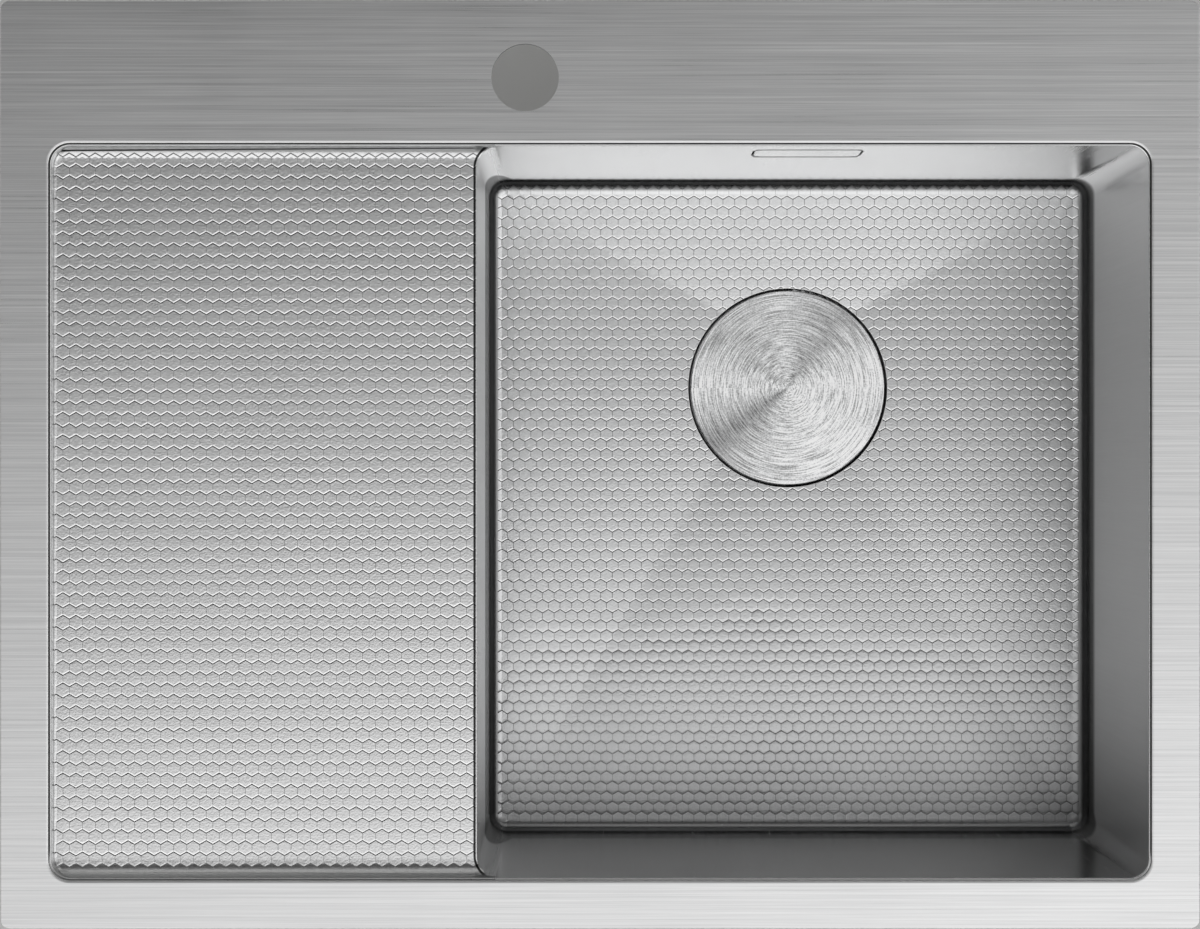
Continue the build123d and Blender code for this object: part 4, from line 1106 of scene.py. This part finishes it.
class SINK_OT_hose(bpy.types.Operator):
    """Makes the ribbed hose from the overflow to the waste, and its washers"""

    bl_idname = "sink.hose"
    bl_label = "Overflow hose"

    def execute(self, context):
        settings = context.scene.sink_hose
        hose = self.tube(settings)
        still = Matrix.Identity(4)
        add_form("ribbed_hose", "moulded_hose", "hose_plastic", "overflow_hose", still, hose, smooth=50)
        ring = soft_ring(HOSE_BORE, 0.013, 0.0, 0.0015, 0.0003, 64)
        places = (at(BOWL_X, HOSE_Y, HOSE_TOP), at(BOWL_X, HOSE_END_Y - 0.0015, HOSE_INLET_Z, "Y"))
        for number, place in enumerate(places, start=1):
            add_form(f"hose_washer_{number}", "matt_rubber", "gasket_rubber", "hose_washers", place, ring)
        return {"FINISHED"}

    def tube(self, settings):
        """The hose's outside, ribs and all, and its bore, in rings along its middle line."""
        down = HOSE_TOP - HOSE_INLET_Z - HOSE_BEND
        length = down + HOSE_BEND * math.pi / 2 + HOSE_Y - HOSE_BEND - HOSE_END_Y
        pitch, crest, valley = settings.rib_pitch, settings.rib_crest, settings.rib_valley
        count = int((length - 0.048) / pitch)
        first = (length - count * pitch) / 2
        rows = [(0, 0.0127), (0.0003, 0.013), (0.0017, 0.013), (0.002, 0.0127), (0.002, 0.012)]
        rows.append((first - 0.0008, 0.012))
        steps = 10
        for step in range(count * steps + 1):
            wave = -math.cos(math.tau * (step / steps - 0.875 + 0.5))
            swing = max(-1.0, min(1.0, 1.45 * wave))
            rows.append((first + step * pitch / steps, (crest + valley) / 2 + swing * (crest - valley) / 2))
        rows += [(length - distance, radius) for distance, radius in reversed(rows[:6])]
        rows += [(length * (1 - step / 60), HOSE_BORE) for step in range(61)]
        points, sides = [], 48
        for distance, radius in rows:
            middle, across = self.middle_line(distance, down)
            for side in range(sides):
                turn = math.tau * side / sides
                aside = Vector((radius * math.cos(turn), 0, 0))
                points.append(middle + aside + across * radius * math.sin(turn))
        return points, ring_faces(len(rows), sides)

    def middle_line(self, distance, down):
        """A point of the hose's middle line, and the direction across it in the plane of its bend."""
        if distance <= down:
            return Vector((BOWL_X, HOSE_Y, HOSE_TOP - distance)), Vector((0, 1, 0))
        turn = (distance - down) / HOSE_BEND
        if turn >= math.pi / 2:
            past = distance - down - HOSE_BEND * math.pi / 2
            return Vector((BOWL_X, HOSE_Y - HOSE_BEND - past, HOSE_INLET_Z)), Vector((0, 0, -1))
        y = HOSE_Y - HOSE_BEND + HOSE_BEND * math.cos(turn)
        z = HOSE_INLET_Z + HOSE_BEND - HOSE_BEND * math.sin(turn)
        return Vector((BOWL_X, y, z)), Vector((0, math.cos(turn), -math.sin(turn)))


class SINK_OT_soft_pieces(bpy.types.Operator):
    """Makes the sealing strip, the damping pads, the gaskets and the basket's seal"""

    bl_idname = "sink.soft_pieces"
    bl_label = "Soft pieces"

    def execute(self, context):
        edge = context.scene.sink_moulded.edge
        still = Matrix.Identity(4)
        strip = self.strip(edge)
        add_form("worktop_seal", "foam_strip", "seal_foam", "sealing_strip", still, strip, smooth=50)
        pads = soft_copy("sound_pads", 1.5 * edge)
        add_piece("damping_pads", pads, "bitumen_pad", "sink", ["sound_pads"], smooth=50)
        # The gaskets' finish
        rubber = ("matt_rubber", "gasket_rubber")
        seal = soft_copy("overflow_gasket", edge / 2)
        add_piece("overflow_seal", seal, rubber[0], "sink", ["overflow_gasket"], smooth=50)
        place = Matrix.Translation(DRAIN)
        ring = soft_ring(ROUND_SEAL_BORE, 0.056, -0.209, -0.208, 0.0003)
        add_form("strainer_seal", *rubber, "strainer_gasket", place, ring, smooth=50)
        ring = soft_ring(ROUND_SEAL_BORE, 0.0575, -0.212, -0.210, 0.0005)
        add_form("waste_seal", *rubber, "waste_gasket", place, ring, smooth=50)
        stopper = turned_form(soften(self.stopper_outline(), 0.0004), 96)
        body = "strainer_basket"
        add_form("basket_stopper", *rubber, "basket_seal", place, stopper, body=body, smooth=50)
        return {"FINISHED"}

    def strip(self, edge):
        """The strip's section, carried round the underside of the deck."""
        section = soften([(0.0, 0.0), (0.008, 0.0), (0.008, 0.0015), (0.0, 0.0015)], edge)
        points = []
        for inset, height in section:
            corner = max(0.002 - inset, 0.0001)
            outline = round_rectangle(0.307 - inset, 0.237 - inset, corner)
            points += [Vector((x, y, height)) for x, y in outline]
        return points, ring_faces(len(section), len(outline))

    def stopper_outline(self):
        """The rubber disc's section, with two low ribs under its rim."""
        low, high = -0.2365, -0.2335
        outline = [(0.00305, high), (0.0300, high), (0.0310, low + 0.0002), (0.0306, low), (0.0290, low)]
        outline += [(0.0286, low + 0.0005), (0.0276, low + 0.0005), (0.0272, low), (0.00605, low)]
        return outline + [(0.00605, low + 0.00125), (0.00305, low + 0.00125)]


# The stage


class SINK_OT_stage(bpy.types.Operator):
    """Sets up the floor, the soft studio light and the camera over the sink"""

    bl_idname = "sink.stage"
    bl_label = "Stage"

    def execute(self, context):
        scene = context.scene
        settings = scene.sink_stage
        self.floor(settings)
        self.light(scene, settings)
        camera = bpy.data.objects.new("camera", bpy.data.cameras.new("camera"))
        camera.data.sensor_width = 36
        camera.data.lens = settings.lens
        camera.location = (0, 0, DECK_TOP + settings.camera_height)
        scene.collection.objects.link(camera)
        scene.camera = camera
        scene.view_settings.view_transform = "Standard"
        return {"FINISHED"}

    def floor(self, settings):
        finish, _, shader, place = new_material("studio_floor")
        cloud = noise(place, 3.0, 3.0)
        color = settings.floor_color
        base = mix_color(cloud, shades(color, 0.97), shades(color, 1.03))
        link(base, shader, "Base Color")
        shader.inputs["Roughness"].default_value = 0.9
        low = cad_box[0].z - 0.004
        flat, curve, height, steps = 4.6, 1.2, 2.6, 12
        profile = [(flat - 1.0, low), (flat, low)]
        for step in range(1, steps + 1):
            turn = math.radians(90 * step / steps)
            profile.append((flat + curve * math.sin(turn), low + curve * (1 - math.cos(turn))))
        profile.append((flat + curve, low + height))
        points, faces = turned_form(profile, 96, closed=False)
        faces = [face[::-1] for face in faces[:-2]] + [faces[-2]]
        mesh = mesh_of("studio_floor", points, faces)
        mesh.shade_smooth()
        mesh.materials.append(finish)
        floor = bpy.data.objects.new("studio_floor", mesh)
        bpy.context.scene.collection.objects.link(floor)

    def light(self, scene, settings):
        """A studio that is bright in front of the sink and dim behind it."""
        world = bpy.data.worlds.new("studio")
        world.use_nodes = True
        tree = world.node_tree
        tree.nodes.clear()
        place = node(tree, "ShaderNodeTexCoord").outputs["Generated"]
        parts = separate(place)
        towards = maths("SUBTRACT", times(parts[0], 0.25), parts[1])
        over = remap(towards, -0.265, 0.335, settings.back_light, settings.top_light, smooth=True)
        front = remap(towards, 0.2, 0.8, 0.0, settings.front_light - settings.top_light, smooth=True)
        low = remap(parts[2], 0.40, 0.72, settings.side_light, 0.0, smooth=True)
        strength = maths("MAXIMUM", plus(over, front), low)
        background = node(tree, "ShaderNodeBackground", {"Color": (1, 1, 1, 1), "Strength": strength})
        output = node(tree, "ShaderNodeOutputWorld")
        tree.links.new(background.outputs[0], output.inputs["Surface"])
        scene.world = world


class SINK_OT_steel(bpy.types.Operator):
    """Gives the steel pieces their brushed, turned, plated and milled finishes"""

    bl_idname = "sink.steel"
    bl_label = "Steel"

    def execute(self, context):
        settings = context.scene.sink_steel
        color, zinc = tuple(settings.color), tuple(settings.zinc_color)
        rough = settings.roughness
        for make in EFFECTS:
            make()
        # Painted highlight: the bowl takes a lighter copy of the steel's colour
        pale, lit_bowl_color = (tuple(share * value for value in color) for share in (1.02, 1.13))
        steel_material("brushed_deck", pale, rough, (12, 2900, 2900), 0.24, joint="deck", wear_and_highlight=0.9)
        steel_material("embossed_board", color, rough, (1500, 1700, 1500), 0.3, 0.5, "board", 5.0)
        steel_material("embossed_floor", color, rough, (1500, 1100, 1500), 0.25, 0.5, "floor", 4.0)
        steel_material("satin_bowl", lit_bowl_color, rough - 0.08, (1300, 1300, 18), 0.15, joint="bowl")
        steel_material("satin_strainer", color, rough - 0.05, (1200, 1200, 1200), contrast=0.05)
        steel_material("zinc_plate", zinc, 0.32, (700, 700, 700), contrast=0.08)
        steel_material("zinc_fixings", zinc, 0.28, (900, 900, 900), contrast=0.08, bump=0.15)
        steel_material("satin_fixings", color, 0.24, (900, 900, 900), contrast=0.06, bump=0.15)
        steel_material("mill_steel", zinc, 0.42, (30, 1500, 1500), contrast=0.12)
        turned_material("turned_disc", color, rough)
        paint("brushed_deck", "deck_plate")
        paint("embossed_board", "drainboard")
        paint("satin_bowl", "bowl", "overflow_cover")
        paint("satin_strainer", "strainer_cup", "basket", "basket_post")
        paint("mill_steel", "tap_hole_stiffener", "drainboard_stiffeners")
        paint("turned_disc", "cover_disc")
        paint("zinc_plate", "clip_brackets", *[f"clip_claw_{number}" for number in range(1, 7)])
        return {"FINISHED"}


class SINK_OT_plastics(bpy.types.Operator):
    """Gives the moulded and rubber pieces their finishes"""

    bl_idname = "sink.plastics"
    bl_label = "Plastics and rubber"

    def execute(self, context):
        settings = context.scene.sink_moulded
        moulded_material("moulded_waste", tuple(settings.plastic_color), 0.42)
        moulded_material("moulded_hose", tuple(settings.hose_color), 0.38)
        moulded_material("matt_rubber", tuple(settings.rubber_color), 0.6, scale=2500.0)
        moulded_material("foam_strip", tuple(settings.rubber_color), 0.85, scale=3200.0, bump=0.8)
        moulded_material("bitumen_pad", tuple(settings.pad_color), 0.7, scale=900.0, bump=0.6, spread=0.2)
        paint("moulded_waste", "overflow_housing", "hose_nuts", "waste_body", "cover_ring")
        return {"FINISHED"}


class SINK_PT_panel(bpy.types.Panel):
    """Lists the sink's pieces and their settings"""

    bl_label = "Kitchen sink"
    bl_idname = "SINK_PT_panel"
    bl_space_type = "VIEW_3D"
    bl_region_type = "UI"
    bl_category = "Sink"

    def draw(self, context):
        layout = self.layout
        for operator in OPERATORS:
            layout.operator(operator.bl_idname)
        for attribute in SETTINGS:
            group = getattr(context.scene, attribute)
            for name in group.__annotations__:
                layout.prop(group, name)


SETTINGS = {
    "sink_stage": StageSettings,
    "sink_honeycomb": HoneycombSettings,
    "sink_steel": SteelSettings,
    "sink_moulded": MouldedSettings,
    "sink_threads": ThreadSettings,
    "sink_hose": HoseSettings,
}
EFFECTS = (
    make_brushed_grain,
    make_edge_wear_and_highlight,
    make_smudges,
    make_moulded_grain,
    make_outline_distance,
    make_joint_shade,
)
OPERATORS = (
    SINK_OT_steel,
    SINK_OT_plastics,
    SINK_OT_stage,
    SINK_OT_board_honeycomb,
    SINK_OT_floor_honeycomb,
    SINK_OT_clamp_screws,
    SINK_OT_overflow_fixings,
    SINK_OT_waste,
    SINK_OT_hose,
    SINK_OT_soft_pieces,
)


def register():
    for group in (*SETTINGS.values(), *OPERATORS, SINK_PT_panel):
        bpy.utils.register_class(group)
    for attribute, group in SETTINGS.items():
        setattr(bpy.types.Scene, attribute, PointerProperty(type=group))


def unregister():
    for attribute in SETTINGS:
        delattr(bpy.types.Scene, attribute)
    for group in (SINK_PT_panel, *reversed(OPERATORS), *SETTINGS.values()):
        bpy.utils.unregister_class(group)


def main():
    register()
    bpy.ops.sink.steel()
    bpy.ops.sink.plastics()
    bpy.ops.sink.stage()
    bpy.ops.sink.board_honeycomb()
    bpy.ops.sink.floor_honeycomb()
    bpy.ops.sink.clamp_screws()
    bpy.ops.sink.overflow_fixings()
    bpy.ops.sink.waste()
    bpy.ops.sink.hose()
    bpy.ops.sink.soft_pieces()


if __name__ == "__main__":
    main()
